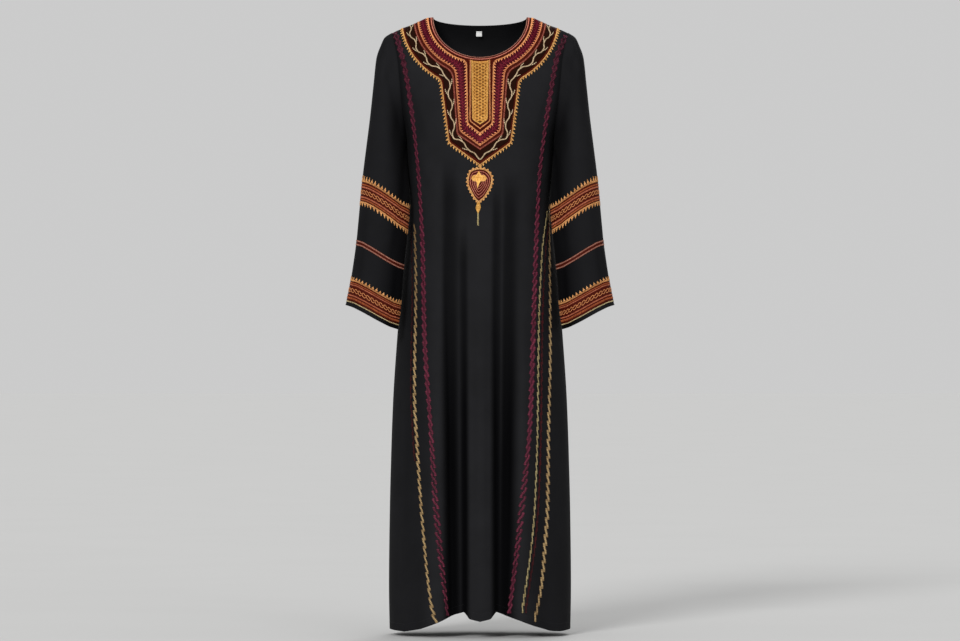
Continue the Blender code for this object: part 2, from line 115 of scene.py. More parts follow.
# The large vertical folds. A positive depth is a valley, a negative one a ridge.
FOLD = "top_x hem_x start_z full_z depth left right"
FRONT_FOLDS = in_mm(
    FOLD,
    (-74, -62, -290, -1150, 32, 13, 21), (-37, -34, -450, -1350, 11, 11, 8),
    (37, 37, -350, -1100, 18, 8, 12), (67, 53, -330, -1200, 26, 13, 22),
    (4, 2, -300, -1000, -7, 24, 24), (-98, -104, -300, -1000, -9, 22, 20),
    (94, 98, -320, -1000, -9, 20, 24), (-138, -146, -600, -1300, 10, 24, 20),
    (134, 143, -620, -1300, 9, 20, 22),
)
BACK_FOLDS = in_mm(
    FOLD,
    (-88, -102, -400, -1200, 24, 20, 20), (-34, -42, -360, -1250, 16, 14, 18),
    (30, 34, -380, -1200, 20, 16, 18), (92, 96, -420, -1250, 22, 20, 22),
    (-2, -4, -360, -1100, -6, 20, 20),
)

FRONT_HEM = in_mm(
    "x z",
    (-207, -1398), (-172, -1400), (-137, -1393), (-92, -1375), (-57, -1359), (-36, -1352.5),
    (-24, -1368), (0, -1373.5), (24, -1368), (37, -1352.5), (57, -1361), (92, -1372.5), (126, -1386),
    (160, -1397.5), (183, -1400), (207, -1398),
)

# The sleeves' rings; the armhole itself is the ring before the first
SLEEVE = in_mm(
    "outer_x outer_z inner_x inner_z forward half_depth",
    (217.6, -46.5, 168.6, -289, 1, 55), (226.7, -65, 168, -301, 0, 59),
    (236, -92, 167.5, -318, 4, 62.5), (242.7, -154, 166, -344, 15, 63),
    (249.6, -223, 163.5, -375, 31, 62), (266.6, -366.4, 161, -424.3, 61, 55),
    (273, -434.7, 165.5, -490.8, 71, 51.5), (280, -510.9, 173.5, -567, 77, 50.5),
    (281.2, -521, 174.5, -577, 78, 50.5), (292, -595, 180, -649.7, 82, 50.5),
    (302.3, -648, 186.2, -702.6, 85, 51), (304.6, -658, 187.8, -713, 86, 51),
)
RING_BOW = -0.05
LAST_PLACE = float(len(SLEEVE))
TROUGH_ANGLE = math.radians(84)
TROUGH_SPREAD = math.radians(26)
TROUGH_DEPTH = 0.005
TROUGH_START = 6
TROUGH_FULL = 8
UNDER_ARM_CLOSE = 0.6 * MM  # how far the sleeve's inner side presses toward the body
UNDER_ARM_END = 5           # the place where it no longer does, and over how much it fades
UNDER_ARM_FADE = 1.2
UNDER_ARM_SPREAD = 14       # in degrees
ARMHOLE_SEAM = 0.12         # how far down the rings the armhole's seam draws the cloth in
FULL_CREASE = 0.8           # the place from which creases have their full depth
CUFF_EDGE = 0.12            # the turned cuff's ridge above its edge, and how far it reaches
CUFF_EDGE_SPREAD = 0.10

# Finer creases: soft troughs between two places, bowed to one side
CREASE = "x z end_x end_z depth width bow"
FRONT_CREASES = in_mm(
    CREASE,
    (-186, -75, -150, -230, 1.8, 9, 4), (-172, -150, -128, -300, 2.4, 10, -5),
    (-166, -262, -108, -420, 3, 11, 6), (-160, -350, -122, -560, 2.6, 10, -4),
    (-152, -540, -176, -1460, 3.4, 11, 3), (-118, -700, -128, -1470, 2.6, 8, -3),
    (-52, -560, -47, -1330, -2.2, 6, 2), (-78, -320, -68, -1470, 3.4, 6, 2),
    (-36, -340, -36, -1460, 2.6, 7, -2), (-16, -480, -14, -1440, 1.8, 9, -3),
    (34, -330, 34, -1460, 3.6, 6, 2), (74, -340, 60, -1460, 3, 8, -2), (18, -560, 20, -1450, 1.8, 7, 2),
    (52, -400, 47, -1000, -2, 5, 0), (114, -640, 124, -1470, 2.8, 9, 4),
    (156, -500, 176, -1450, 3.4, 12, -3), (160, -340, 118, -540, 2.8, 10, 5),
    (166, -256, 112, -398, 2.6, 11, -6), (174, -140, 132, -285, 2.2, 9, 5),
    (187, -80, 152, -215, 1.6, 8, -4),
)
BACK_CREASES = in_mm(
    CREASE,
    (-186, -80, -132, -190, 2.6, 11, 5), (-172, -170, -112, -260, 3, 12, -6),
    (-166, -268, -96, -450, 3.4, 12, 8), (-148, -480, -160, -1470, 4, 13, -4),
    (-120, -640, -134, -1460, 2.6, 9, 3), (-62, -300, -70, -1200, 2.8, 10, -4),
    (-18, -160, -16, -700, 2.2, 12, 3), (12, -520, 16, -1460, 3, 10, 2),
    (58, -340, 64, -1300, 3, 10, 5), (124, -560, 132, -1470, 3.6, 12, -3),
    (158, -700, 174, -1470, 3, 10, 3), (167, -262, 102, -470, 3.2, 12, -8),
    (174, -160, 118, -252, 2.8, 11, 6), (188, -90, 136, -200, 2.4, 10, -5),
)
# On a sleeve the creases run between two angles, in degrees round from the outermost
# point by the front, and two places down the rings. Side 1 is the wearer's left.
SLEEVE_CREASE = "angle place end_angle end_place depth spread"
SLEEVE_CREASES = {
    1: table(
        SLEEVE_CREASE,
        (20, 0.2, 44, 5.2, 0.0026, 9), (66, -0.6, 58, 3.6, 0.003, 10), (128, 0.6, 96, 5.6, 0.0034, 12),
        (166, 1.2, 122, 6.4, 0.0038, 13), (150, 4.4, 112, 8.6, 0.0026, 10), (48, 6.2, 38, 13.4, 0.0026, 10),
        (134, 7.4, 142, 13.2, 0.0028, 12), (206, 0.8, 246, 6, 0.004, 14), (258, -0.4, 276, 5, 0.0036, 13),
        (312, 0.4, 300, 6.6, 0.003, 12), (228, 4.6, 262, 9.4, 0.0034, 12), (286, 6.4, 292, 13, 0.0034, 14),
        (214, 8, 222, 13.4, 0.0028, 11),
    ),
    -1: table(
        SLEEVE_CREASE,
        (26, 0, 36, 4.6, 0.0028, 10), (74, -0.4, 62, 4, 0.0026, 9), (118, 0.4, 102, 5, 0.003, 11),
        (160, 1, 128, 6.8, 0.004, 13), (142, 5, 108, 9, 0.0024, 10), (40, 5.6, 46, 13.2, 0.0028, 11),
        (138, 8.2, 132, 13.4, 0.0026, 11), (212, 0.6, 240, 5.4, 0.0038, 13),
        (262, -0.2, 270, 4.4, 0.0034, 14), (318, 0.6, 306, 7.2, 0.0028, 11),
        (234, 5.2, 256, 10, 0.0036, 13), (282, 7, 290, 13.2, 0.0032, 12),
    ),
}

# Cloth shells
SHELL = 0.9 * MM
NECK_COLUMNS = 48           # half the neckline's columns, and from there to the side
SIDE_COLUMNS = 36
NECK_BUNCHING = 1.6
SIDE_BUNCHING = 1.5
ARMHOLE_ROWS = 84
SKIRT_ROWS = 112
HEM_ROWS = 12
HEM_DEPTH = 20 * MM
HEM_ROWS_SHARE = 1.3        # of the hem's depth, where the rows draw together
HEM_LINE = 3 * MM           # the hem's stitches run this far below its turned edge
HEM_RELIEF = 0.5 * MM       # how far a turned hem stands out, and its stitches pull in
STITCH_DIMPLE = 0.6 * MM
HEM_LINE_SPREAD = 1.6 * MM
SEAM_DIP = 0.8 * MM
SEAM_SPREAD = 3 * MM
FULL_FOLD_DEPTH = 0.01      # where the gown is thinner than this, its folds fade out
SLEEVE_COLUMNS = 120
SLEEVE_ROWS = 168
CUFF_ROWS = 12
CUFF_SHARE = 0.35           # of the last ring's span, where the rows draw together
# Painted shade in the crepe's colour: in the folds and creases, beside the armholes and sleeves, along the
# skirt's sides and over the sleeves
MAIN_FOLD = 10.5 * MM       # a fold deeper than this shades its whole width
MAIN_FOLD_SHADES = (0.58, 0.98)     # near its start and low down the skirt
MAIN_SHADE_TOP = -0.50      # the height from which a main fold's shade grows, and over
MAIN_SHADE_RUN = 0.55       # how much of the skirt
SMALL_FOLD_SHADE = 0.3
SHADE_WIDTH = 1.05          # of a fold's own reach
CREASE_SHADE = 40           # for each metre that a crease lies inward
SHADE_START = 0.12          # how far below its start a fold comes to half its full shade
SIDE_SHADE = 0.55           # beside the armhole and the sleeve, and how far it reaches
SIDE_SHADE_REACH = 13 * MM
SIDE_SHADE_END = -0.66
SIDE_SHADE_FADE = 0.08
SKIRT_SHADE = 0.30          # along the skirt's sides below the sleeves, and its reach
SKIRT_SHADE_REACH = 40 * MM
# On the sleeves: painted shade on their side toward the body, and over a whole sleeve, darker towards its
# cuff
SLEEVE_SHADE = 0.50         # on the sleeve's side toward the body
SLEEVE_PAINTED_SHADES = (0.18, 0.38) # over a whole sleeve, at its top and at its cuff

# Embroidery: the thickness of its ground and the lift of the stitches above the cloth
GROUND_LIFT = 0.25 * MM
GROUND_THICKNESS = 0.5 * MM
STITCH_LIFT = 0.65 * MM
YOKE_SLOT = "gold_embroidery"
BAND_SLOT = "rust_embroidery"

rng = np.random.default_rng(11)


def smooth(value):
    t = np.clip(value, 0, 1)
    return t * t * (3 - 2 * t)


def mix(a, b, share):
    return a + (b - a) * share


def bell(value):
    """1 at nothing, and fading away on both sides of it."""
    return np.exp(-(value**2))


def stack(*values):
    return np.stack(values, axis=-1)


def unit(vectors):
    return vectors / np.maximum(np.linalg.norm(vectors, axis=1, keepdims=True), 1e-12)


def straight(start, end, steps):
    """Points at even steps from one place to another."""
    return mix(start, end, np.linspace(0, 1, steps)[:, None])


def lengths_along(points):
    """How far along a line of points each of them lies."""
    steps = np.linalg.norm(np.diff(points, axis=0), axis=1)
    return np.concatenate([[0], np.cumsum(steps)])


def slopes_of(steps):
    """The slopes at a row of places that keep a curve between its values."""
    low, high = steps[:-1], steps[1:]
    turns = low * high <= 0
    total = np.where(turns, 1, low + high)
    middle = np.where(turns, 0, 2 * low * high / total)
    return np.concatenate([steps[:1], middle, steps[-1:]])


def cubic(before, after, first, last, t, width=1):
    """A curve from one value to the next, which leaves and arrives with the given slopes."""
    return (
        before * (1 + 2 * t) * (1 - t) ** 2
        + first * width * t * (1 - t) ** 2
        + after * t * t * (3 - 2 * t)
        + last * width * t * t * (t - 1)
    )


def through(rows, key, value):
    """Returns a smooth function through a table's rows that never overshoots them."""
    xs, ys = np.array(sorted((getattr(row, key), getattr(row, value)) for row in rows)).T
    slopes = slopes_of(np.diff(ys) / np.diff(xs))

    def at(where):
        where = np.clip(where, xs[0], xs[-1])
        i = np.clip(np.searchsorted(xs, where, side="right") - 1, 0, len(xs) - 2)
        width = xs[i + 1] - xs[i]
        return cubic(ys[i], ys[i + 1], slopes[i], slopes[i + 1], (where - xs[i]) / width, width)

    return at


edge_x = through(EDGES, "z", "half_width")
front_depth = through(DEPTHS, "z", "front")
back_depth = through(DEPTHS, "z", "back")
shoulder_line = through(SHOULDERS, "x", "z")


def front_hem_z(x):
    return np.interp(x, [row.x for row in FRONT_HEM], [row.z for row in FRONT_HEM])


def back_hem_z(x):
    side = np.abs(x) / edge_x(HEM_BACK_Z)
    wave = HEM_BACK_WAVE * np.cos(HEM_BACK_WAVES * math.pi * side)
    return mix(HEM_BACK_Z + wave * (1 - side**2), FRONT_HEM[0].z, side**4)


def roll_over(x, z, roll):
    """How much of its full depth the cloth has reached below the shoulder seam."""
    drop = np.maximum(0, shoulder_line(np.abs(x)) - z)
    toward_end = smooth((np.abs(x) - NECK_HALF) / (SHOULDER_HALF - NECK_HALF))
    power = mix(roll.near_neck, roll.near_end, toward_end)
    return np.sin(0.5 * math.pi * np.clip(drop / roll.drop, 0, 1)) ** power


def section(x, z, depth, armhole_share):
    """The depth of a level section at x: nothing at the side seam, full at the middle."""
    above_underarm = np.clip((z - UNDERARM_Z) / (SHOULDER_Z - UNDERARM_Z), 0, 1)
    edge_share = armhole_share * np.sqrt(above_underarm)
    reach = (1 - edge_share**2) ** (1 / ROUND)
    across = np.minimum(1, np.abs(x) / edge_x(z) * reach)
    return depth * np.sqrt(np.maximum(0, 1 - across**ROUND))


def away_from(fold, x, z):
    """How far x lies from a fold's middle line, as a share of its reach on that side."""
    along = np.clip((z - fold.start_z) / (HEM_BACK_Z - fold.start_z), 0, 1)
    away = x - mix(fold.top_x, fold.hem_x, along)
    return away / np.where(away < 0, fold.left, fold.right)


def folds(rows, x, z):
    inward = np.zeros_like(x)
    for fold in rows:
        grown = smooth((fold.start_z - z) / (fold.start_z - fold.full_z))
        inward += fold.depth * grown * bell(away_from(fold, x, z))
    return inward


def creases(rows, x, z):
    inward = np.zeros_like(x)
    for crease in rows:
        run_x = crease.end_x - crease.x
        run_z = crease.end_z - crease.z
        length = math.hypot(run_x, run_z)
        along = ((x - crease.x) * run_x + (z - crease.z) * run_z) / length**2
        across = ((x - crease.x) * run_z - (z - crease.z) * run_x) / length
        inside = np.clip(along, 0, 1)
        across = across - crease.bow * 4 * inside * (1 - inside)
        fade = np.sin(math.pi * inside)
        inward += crease.depth * fade * bell(across / crease.width)
    return inward


def seam_dip(x, z, hem_z):
    """How far the cloth draws in along its seams, and stands out over its hem."""
    from_side = np.maximum(0, edge_x(z) - np.abs(x))
    dip = SEAM_DIP * bell(from_side / SEAM_SPREAD)
    over_hem = z - hem_z(x)
    turned = smooth((HEM_DEPTH - over_hem) / HEM_LINE) * HEM_RELIEF
    line = bell((over_hem - HEM_DEPTH + HEM_LINE) / HEM_LINE_SPREAD) * STITCH_DIMPLE
    return dip - turned + line


# The sizes of the front and the back, and the way each faces along Y
Panel = namedtuple("Panel", "depth armhole_share roll folds creases hem_z neck_drop way")
FRONT_PANEL = Panel(
    front_depth, ARMHOLE_SHARE_FRONT, ROLL_FRONT, FRONT_FOLDS, FRONT_CREASES, front_hem_z,
    NECK_DROP_FRONT, -1,
)
BACK_PANEL = Panel(
    back_depth, ARMHOLE_SHARE_BACK, ROLL_BACK, BACK_FOLDS, BACK_CREASES, back_hem_z,
    NECK_DROP_BACK, 1,
)


def panel_y(panel, x, z):
    depth = section(x, z, panel.depth(z), panel.armhole_share) * roll_over(x, z, panel.roll)
    inward = folds(panel.folds, x, z) + creases(panel.creases, x, z)
    inward = inward + seam_dip(x, z, panel.hem_z)
    return panel.way * np.maximum(SEAM / 2, depth - inward * np.minimum(1, depth / FULL_FOLD_DEPTH))


def top_z(across, drop):
    """The height of a panel's top edge: the neckline, or else the shoulder seam."""
    x = np.abs(across) * SHOULDER_HALF
    neckline = -drop * np.sqrt(np.maximum(0, 1 - (x / NECK_HALF) ** 2))
    return np.where(x < NECK_HALF, neckline, shoulder_line(x))


def sleeve_point(angle, place, side):
    """Points of a sleeve, round from its outermost line by the front, down its rings."""
    row_share = np.where(angle <= math.pi, angle, 2 * math.pi - angle) / math.pi
    z = mix(SHOULDER_Z, UNDERARM_Z, 0.5 * (1 - np.cos(math.pi * row_share)))
    x = edge_x(z)
    y = np.where(angle <= math.pi, panel_y(FRONT_PANEL, x, z), panel_y(BACK_PANEL, x, z))
    keys = [stack(x + ARMHOLE_GAP, y, z)]
    across = np.cos(angle)
    bowed = across + RING_BOW * (np.cos(3 * angle) - across)
    for ring in SLEEVE:
        keys.append(np.stack([
            mix(ring.inner_x, ring.outer_x, 0.5 + 0.5 * across),
            -ring.forward - ring.half_depth * np.sin(angle),
            mix(ring.inner_z, ring.outer_z, 0.5 + 0.5 * bowed),
        ], axis=-1))
    keys = np.stack(keys)
    slopes = slopes_of(np.diff(keys, axis=0))
    place = np.clip(place, 0, LAST_PLACE)
    i = np.minimum(np.floor(place).astype(int), len(SLEEVE) - 1)
    one = np.arange(len(angle))
    t = (place - i)[:, None]
    point = cubic(keys[i, one], keys[i + 1, one], slopes[i, one], slopes[i + 1, one], t)
    grown = smooth((place - TROUGH_START) / (TROUGH_FULL - TROUGH_START))
    point[:, 1] += TROUGH_DEPTH * grown * bell((angle - TROUGH_ANGLE) / TROUGH_SPREAD)
    inward = sleeve_inward(np.degrees(angle), place, side)
    point[:, 0] -= inward * across
    point[:, 1] += inward * np.sin(angle)
    point[:, 0] *= side
    return point


def sleeve_inward(degrees, place, side):
    """The creases of one sleeve, its armhole seam and its turned cuff."""
    inward = SEAM_DIP * bell(place / ARMHOLE_SEAM)
    for crease in SLEEVE_CREASES[side]:
        along = (place - crease.place) / (crease.end_place - crease.place)
        inside = np.clip(along, 0, 1)
        away = degrees - mix(crease.angle, crease.end_angle, inside)
        away = (away + 180) % 360 - 180
        fade = np.sin(math.pi * inside) * smooth(place / FULL_CREASE)
        inward = inward + crease.depth * fade * bell(away / crease.spread)
    cuff_edge = bell((place - LAST_PLACE + CUFF_EDGE) / CUFF_EDGE_SPREAD)
    under_arm = smooth(place / FULL_CREASE) * smooth((UNDER_ARM_END - place) / UNDER_ARM_FADE)
    toward_body = UNDER_ARM_CLOSE * under_arm * bell((degrees - 180) / UNDER_ARM_SPREAD)
    return inward - HEM_RELIEF * cuff_edge - toward_body


class Surface:
    """A cloth face: its points and outward normals at places of a two-number chart."""

    def __init__(self, point, step, sign):
        self.point = point
        self.step = step
        self.sign = sign

    def at(self, chart):
        u, v = chart[:, 0], chart[:, 1]
        du, dv = self.step
        along_u = self.point(u + du, v) - self.point(u - du, v)
        along_v = self.point(u, v + dv) - self.point(u, v - dv)
        return self.point(u, v), unit(self.sign * np.cross(along_u, along_v))


def sleeve_surface(side):
    def point(angle, place):
        return sleeve_point(angle % (2 * math.pi), place, side)

    return Surface(point, (0.004, 0.02), side)


def panel_surface(panel, inset=0, sign=None):
    """A body panel's face, or one that lies a little way into the gown from it."""
    def point(x, z):
        return stack(x, panel_y(panel, x, z) - panel.way * inset, z)

    return Surface(point, (0.4 * MM, 0.4 * MM), -panel.way if sign is None else sign)


FRONT = panel_surface(FRONT_PANEL)
BACK = panel_surface(BACK_PANEL)
SIDES = {"left": 1, "right": -1}
SLEEVES = {name: sleeve_surface(side) for name, side in SIDES.items()}
SLEEVE_ANGLES = 2 * math.pi * np.arange(SLEEVE_COLUMNS) / SLEEVE_COLUMNS


# Materials


def linear(colour):
    """A colour given as it shows on a screen, 0xRRGGBB, as the shader wants it."""
    values = []
    for shift in (16, 8, 0):
        share = (colour >> shift & 255) / 255
        values.append(share / 12.92 if share <= 0.04045 else ((share + 0.055) / 1.055) ** 2.4)
    return (*values, 1)


def new_material(name, roughness, specular, sheen, sheen_roughness=0.4):
    made = bpy.data.materials.new(name)
    made.use_nodes = True
    shader = made.node_tree.nodes["Principled BSDF"]
    shader.inputs["Roughness"].default_value = roughness
    shader.inputs["Specular IOR Level"].default_value = specular
    shader.inputs["Sheen Weight"].default_value = sheen
    shader.inputs["Sheen Roughness"].default_value = sheen_roughness
    return made, made.node_tree, shader


def plug(tree, sockets, values):
    """Gives each socket its value, or links it where the value is another node's output."""
    for socket, value in zip(sockets, values):
        if isinstance(value, bpy.types.NodeSocket):
            tree.links.new(value, socket)
        else:
            socket.default_value = value


def add_node(tree, kind, inputs=None, **settings):
    made = tree.nodes.new(kind)
    for name, value in settings.items():
        setattr(made, name, value)
    inputs = inputs or {}
    plug(tree, [made.inputs[name] for name in inputs], inputs.values())
    return made


def noise(tree, where, scale, detail=2, roughness=0.5):
    inputs = {"Vector": where, "Scale": scale, "Detail": detail, "Roughness": roughness}
    return add_node(tree, "ShaderNodeTexNoise", inputs).outputs["Fac"]


def spread(tree, value, low, high, to_low, to_high):
    names = ("Value", "From Min", "From Max", "To Min", "To Max")
    inputs = dict(zip(names, (value, low, high, to_low, to_high)))
    return add_node(tree, "ShaderNodeMapRange", inputs).outputs["Result"]


def blend_colours(tree, share, first, second):
    made = add_node(tree, "ShaderNodeMix", data_type="RGBA")
    plug(tree, [made.inputs[i] for i in (0, 6, 7)], (share, first, second))
    return made.outputs[2]


def maths(tree, operation, first, second=0):
    made = add_node(tree, "ShaderNodeMath", operation=operation)
    plug(tree, made.inputs, (first, second))
    return made.outputs[0]


def show(tree, shader, colour, height, strength, distance):
    """Gives a material its colour, and a relief from heights."""
    inputs = {"Height": height, "Strength": strength, "Distance": distance}
    relief = add_node(tree, "ShaderNodeBump", inputs).outputs["Normal"]
    plug(tree, (shader.inputs["Base Color"], shader.inputs["Normal"]), (colour, relief))


def crepe(name, shade, light, painted_shade_colour):
    """Matt black crepe: a fine pebbled weave with slubs, and painted shade that darkens it in its folds and
    beside the sleeves.
    """
    made, tree, shader = new_material(name, 0.88, 0.03, 0.012, 0.35)
    where = add_node(tree, "ShaderNodeTexCoord").outputs["Object"]
    pebble = noise(tree, where, 1500, 3, 0.6)
    yarns = []
    for stretch, scale in (((1, 1, 0.18), 2400), ((0.2, 0.2, 1), 2200)):
        mapped = add_node(tree, "ShaderNodeMapping", {"Vector": where, "Scale": stretch})
        yarns.append(noise(tree, mapped.outputs["Vector"], scale, 2, 0.55))
    grain = maths(tree, "ADD", maths(tree, "ADD", *yarns), pebble)
    dye = noise(tree, where, 9, 3, 0.6)
    fleck = maths(tree, "MULTIPLY", grain, 0.28)
    share = maths(tree, "ADD", spread(tree, dye, 0.35, 0.65, 0, 0.35), fleck)
    colour = blend_colours(tree, share, shade, light)
    # Painted shade: each point's share, noted on the mesh, mixes in the near-black colour
    painted_shade = add_node(tree, "ShaderNodeAttribute", attribute_name="painted_shade").outputs["Fac"]
    colour = blend_colours(tree, painted_shade, colour, painted_shade_colour)
    tree.links.new(spread(tree, pebble, 0.3, 0.7, 0.78, 0.92), shader.inputs["Roughness"])
    show(tree, shader, colour, grain, 0.45, 0.25 * MM)
    return made


def thread(name, dark, light):
    """Embroidery thread: strands along each stitch, and a tone of its own for each."""
    made, tree, shader = new_material(name, 0.5, 0.10, 0.02)
    tone = add_node(tree, "ShaderNodeAttribute", attribute_name="tone").outputs["Fac"]
    where = add_node(tree, "ShaderNodeTexCoord").outputs["Object"]
    uneven = spread(tree, noise(tree, where, 320), 0.3, 0.7, -0.2, 0.2)
    share = maths(tree, "ADD", tone, uneven)
    colour = blend_colours(tree, share, dark, light)
    strands = add_node(tree, "ShaderNodeUVMap", uv_map="strands").outputs["UV"]
    across = add_node(tree, "ShaderNodeSeparateXYZ", {"Vector": strands}).outputs["X"]
    wave = maths(tree, "SINE", maths(tree, "MULTIPLY", across, STRANDS_A_METRE * 2 * math.pi))
    show(tree, shader, colour, wave, 0.35, 0.12 * MM)
    return made


def filling(name, dark, light, turns, roughness=0.6):
    """The flat ground of the embroidery: close rows of thread, seen between stitches."""
    made, tree, shader = new_material(name, roughness, 0.04, 0.01)
    where = add_node(tree, "ShaderNodeTexCoord").outputs["Object"]
    inputs = {"Vector": where, "Scale": turns, "Distortion": 2.5, "Detail": 2}
    ribs = add_node(tree, "ShaderNodeTexWave", inputs, bands_direction="DIAGONAL").outputs["Fac"]
    uneven = noise(tree, where, 160, 3)
    share = maths(tree, "MULTIPLY", maths(tree, "ADD", ribs, uneven), 0.5)
    show(tree, shader, blend_colours(tree, share, dark, light), ribs, 0.4, 0.2 * MM)
    return made


STRANDS_A_METRE = 2400

# The last colour is the near-black of the crepe's painted shade
BLACK_CREPE = crepe("black_crepe", linear(0x161617), linear(0x202022), linear(0x030304))
# How dark and how light each colour of thread shows on a screen
DYES = table(
    "name dark light",
    ("black", 0x101012, 0x222224),
    ("gold", 0xAC7436, 0xECBA74),
    ("bright", 0xC48A38, 0xF6C46E),
    ("ochre", 0xB0742E, 0xDEA656),
    ("orange", 0xCC7846, 0xFCB67A),
    ("amber", 0xB8683C, 0xECA06E),
    ("tan", 0xBA7A40, 0xF0C07E),
    ("rust", 0x8E3214, 0xCE6232),
    ("clay", 0x683226, 0xAA6050),
    ("rose", 0xB05C4C, 0xE89680),
    ("pale_pink", 0x7E5042, 0xB88270),
    ("maroon", 0x32000A, 0x8C2236),
    ("red", 0x5A1803, 0x963A14),
    ("vine", 0x867254, 0xC4AE8E),
    ("cream", 0x928258, 0xD6C898),
    ("straw", 0x765C3C, 0xBA9E70),
    ("burgundy", 0x280814, 0x742E42),
    ("shadow", 0x220608, 0x541418),
    ("band_gold", 0x9E6A38, 0xD89E66),
    ("band_chain", 0xA05E32, 0xD8925E),
    ("band_rust", 0x763418, 0xAA5C34),
    ("band_pink", 0x82402A, 0xBA6E50),
    ("dusky", 0x70483C, 0xA67462),
    ("white", 0xD6D6D2, 0xF0F0EC),
)
THREADS = {
    dye.name: thread(f"{dye.name}_thread", linear(dye.dark), linear(dye.light)) for dye in DYES
}
BROWN_GROUND = filling("brown_ground", linear(0x2C0602), linear(0x4A1206), 260)
MAROON_GROUND = filling("maroon_ground", linear(0x220005), linear(0x420412), 300)
CHANNEL_GROUND = filling("channel_ground", linear(0x0C0200), linear(0x260C03), 340, 0.7)
OCHRE_GROUND = filling("ochre_ground", linear(0x54300E), linear(0x784C1C), 320)
GROUNDS = [BROWN_GROUND, MAROON_GROUND, CHANNEL_GROUND, OCHRE_GROUND]
LABEL_CLOTH = filling("label_cloth", linear(0xF8F8F6), linear(0xFEFEFC), 700, 0.7)


# Meshes


def place_in_scene(name, data):
    made = bpy.data.objects.new(name, data)
    bpy.context.scene.collection.objects.link(made)
    return made


def add_object(name, mesh, slot, nodes=()):
    made = place_in_scene(name, mesh)
    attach(made, "root")
    if nodes:
        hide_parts(*nodes)
    return made


def grid_faces(rows, columns, closed, flip, first=0):
    """The quads of a grid of points that are listed a row at a time."""
    across = np.arange(columns if closed else columns - 1)
    after = (across + 1) % columns
    faces = []
    for row in range(rows - 1):
        upper = first + row * columns
        lower = upper + columns
        corners = [upper + across, lower + across, lower + after, upper + after]
        faces.extend(stack(*(corners[::-1] if flip else corners)).tolist())
    return faces


def mesh_of(name, points, faces, materials, face_materials=None):
    mesh = bpy.data.meshes.new(name)
    mesh.from_pydata(points.tolist(), [], faces)
    for material in materials:
        mesh.materials.append(material)
    if face_materials is not None:
        mesh.polygons.foreach_set("material_index", face_materials)
    mesh.shade_smooth()
    mesh.update()
    return mesh


def set_painted_shade(mesh, share):
    """Notes on a cloth mesh how much painted shade each of its points gets, from 0 to 1."""
    layer = mesh.attributes.new("painted_shade", "FLOAT", "POINT")
    layer.data.foreach_set("value", np.clip(share, 0, 1).astype(np.float32))


def body_painted_shade(panel, x, z):
    """How much painted shade the cloth gets in its folds and creases, beside the sleeves and along the side
    seams below them.
    """
    share = np.zeros_like(x)
    for fold in panel.folds:
        if fold.depth <= 0:
            continue
        strength = SMALL_FOLD_SHADE
        if fold.depth >= MAIN_FOLD:
            strength = mix(*MAIN_FOLD_SHADES, smooth((MAIN_SHADE_TOP - z) / MAIN_SHADE_RUN))
        grown = smooth((fold.start_z - z) / SHADE_START)
        shade = strength * grown * np.exp(-np.abs(away_from(fold, x, z) / SHADE_WIDTH) ** 3)
        share = np.maximum(share, shade)
    share = share + CREASE_SHADE * creases(panel.creases, x, z)
    from_side = np.maximum(0, edge_x(z) - np.abs(x))
    beside_sleeve = smooth((z - SIDE_SHADE_END) / SIDE_SHADE_FADE)
    share = share + SIDE_SHADE * beside_sleeve * bell(from_side / SIDE_SHADE_REACH)
    beside_skirt = SKIRT_SHADE * (1 - beside_sleeve)
    return share + beside_skirt * bell(from_side / SKIRT_SHADE_REACH)


def thicken(thing, thickness):
    """Gives a face the thickness of its cloth, on its inner side."""
    wall = thing.modifiers.new("cloth wall", "SOLIDIFY")
    wall.thickness = thickness
    wall.offset = -1
    wall.use_quality_normals = True
    return thing


def lay_ground(name, surface, rows, faces, node, slot, materials=(), face_materials=None):
    """A flat ground of embroidery on the cloth, through rows of charted places."""
    points, normals = surface.at(np.concatenate(rows))
    points = points + normals * (GROUND_LIFT + GROUND_THICKNESS)
    mesh = mesh_of(name, points, faces, materials or [BROWN_GROUND], face_materials)
    thicken(add_object(name, mesh, slot, [node]), GROUND_THICKNESS)


def panel_columns():
    """Where a body panel's columns lie, close together at the neck's ends and the sides."""
    neck = NECK_HALF / SHOULDER_HALF
    inner = neck * (1 - (1 - np.arange(NECK_COLUMNS + 1) / NECK_COLUMNS) ** NECK_BUNCHING)
    share = np.arange(1, SIDE_COLUMNS + 1) / SIDE_COLUMNS
    outer = mix(neck, 1, 1 - (1 - share) ** SIDE_BUNCHING)
    half = np.concatenate([inner, outer])
    return np.concatenate([-half[:0:-1], half])


def body_cloth(name, surface, panel):
    """A body panel, from its neckline and shoulder seams to its turned hem."""
    across = panel_columns()
    rows = []
    for row in range(ARMHOLE_ROWS):
        share = 0.5 * (1 - math.cos(math.pi * row / ARMHOLE_ROWS))
        rows.append(mix(top_z(across, panel.neck_drop), UNDERARM_Z, share))
    hem = panel.hem_z(across * edge_x(HEM_BACK_Z))
    over_hem = hem + HEM_ROWS_SHARE * HEM_DEPTH
    rows.extend(mix(UNDERARM_Z, over_hem, row / SKIRT_ROWS) for row in range(SKIRT_ROWS))
    rows.extend(mix(over_hem, hem, row / HEM_ROWS) for row in range(HEM_ROWS + 1))
    z = np.stack(rows)
    x = across[None, :] * edge_x(z)
    points = surface.point(x.ravel(), z.ravel())
    faces = grid_faces(len(rows), len(across), False, panel.way > 0)
    mesh = mesh_of(f"{name}_cloth", points, faces, [BLACK_CREPE])
    # Painted shade of its folds, creases and sides
    set_painted_shade(mesh, body_painted_shade(panel, x, z).ravel())
    return thicken(add_object(f"{name}_cloth", mesh, "black_crepe", [f"{name}_panel"]), SHELL)


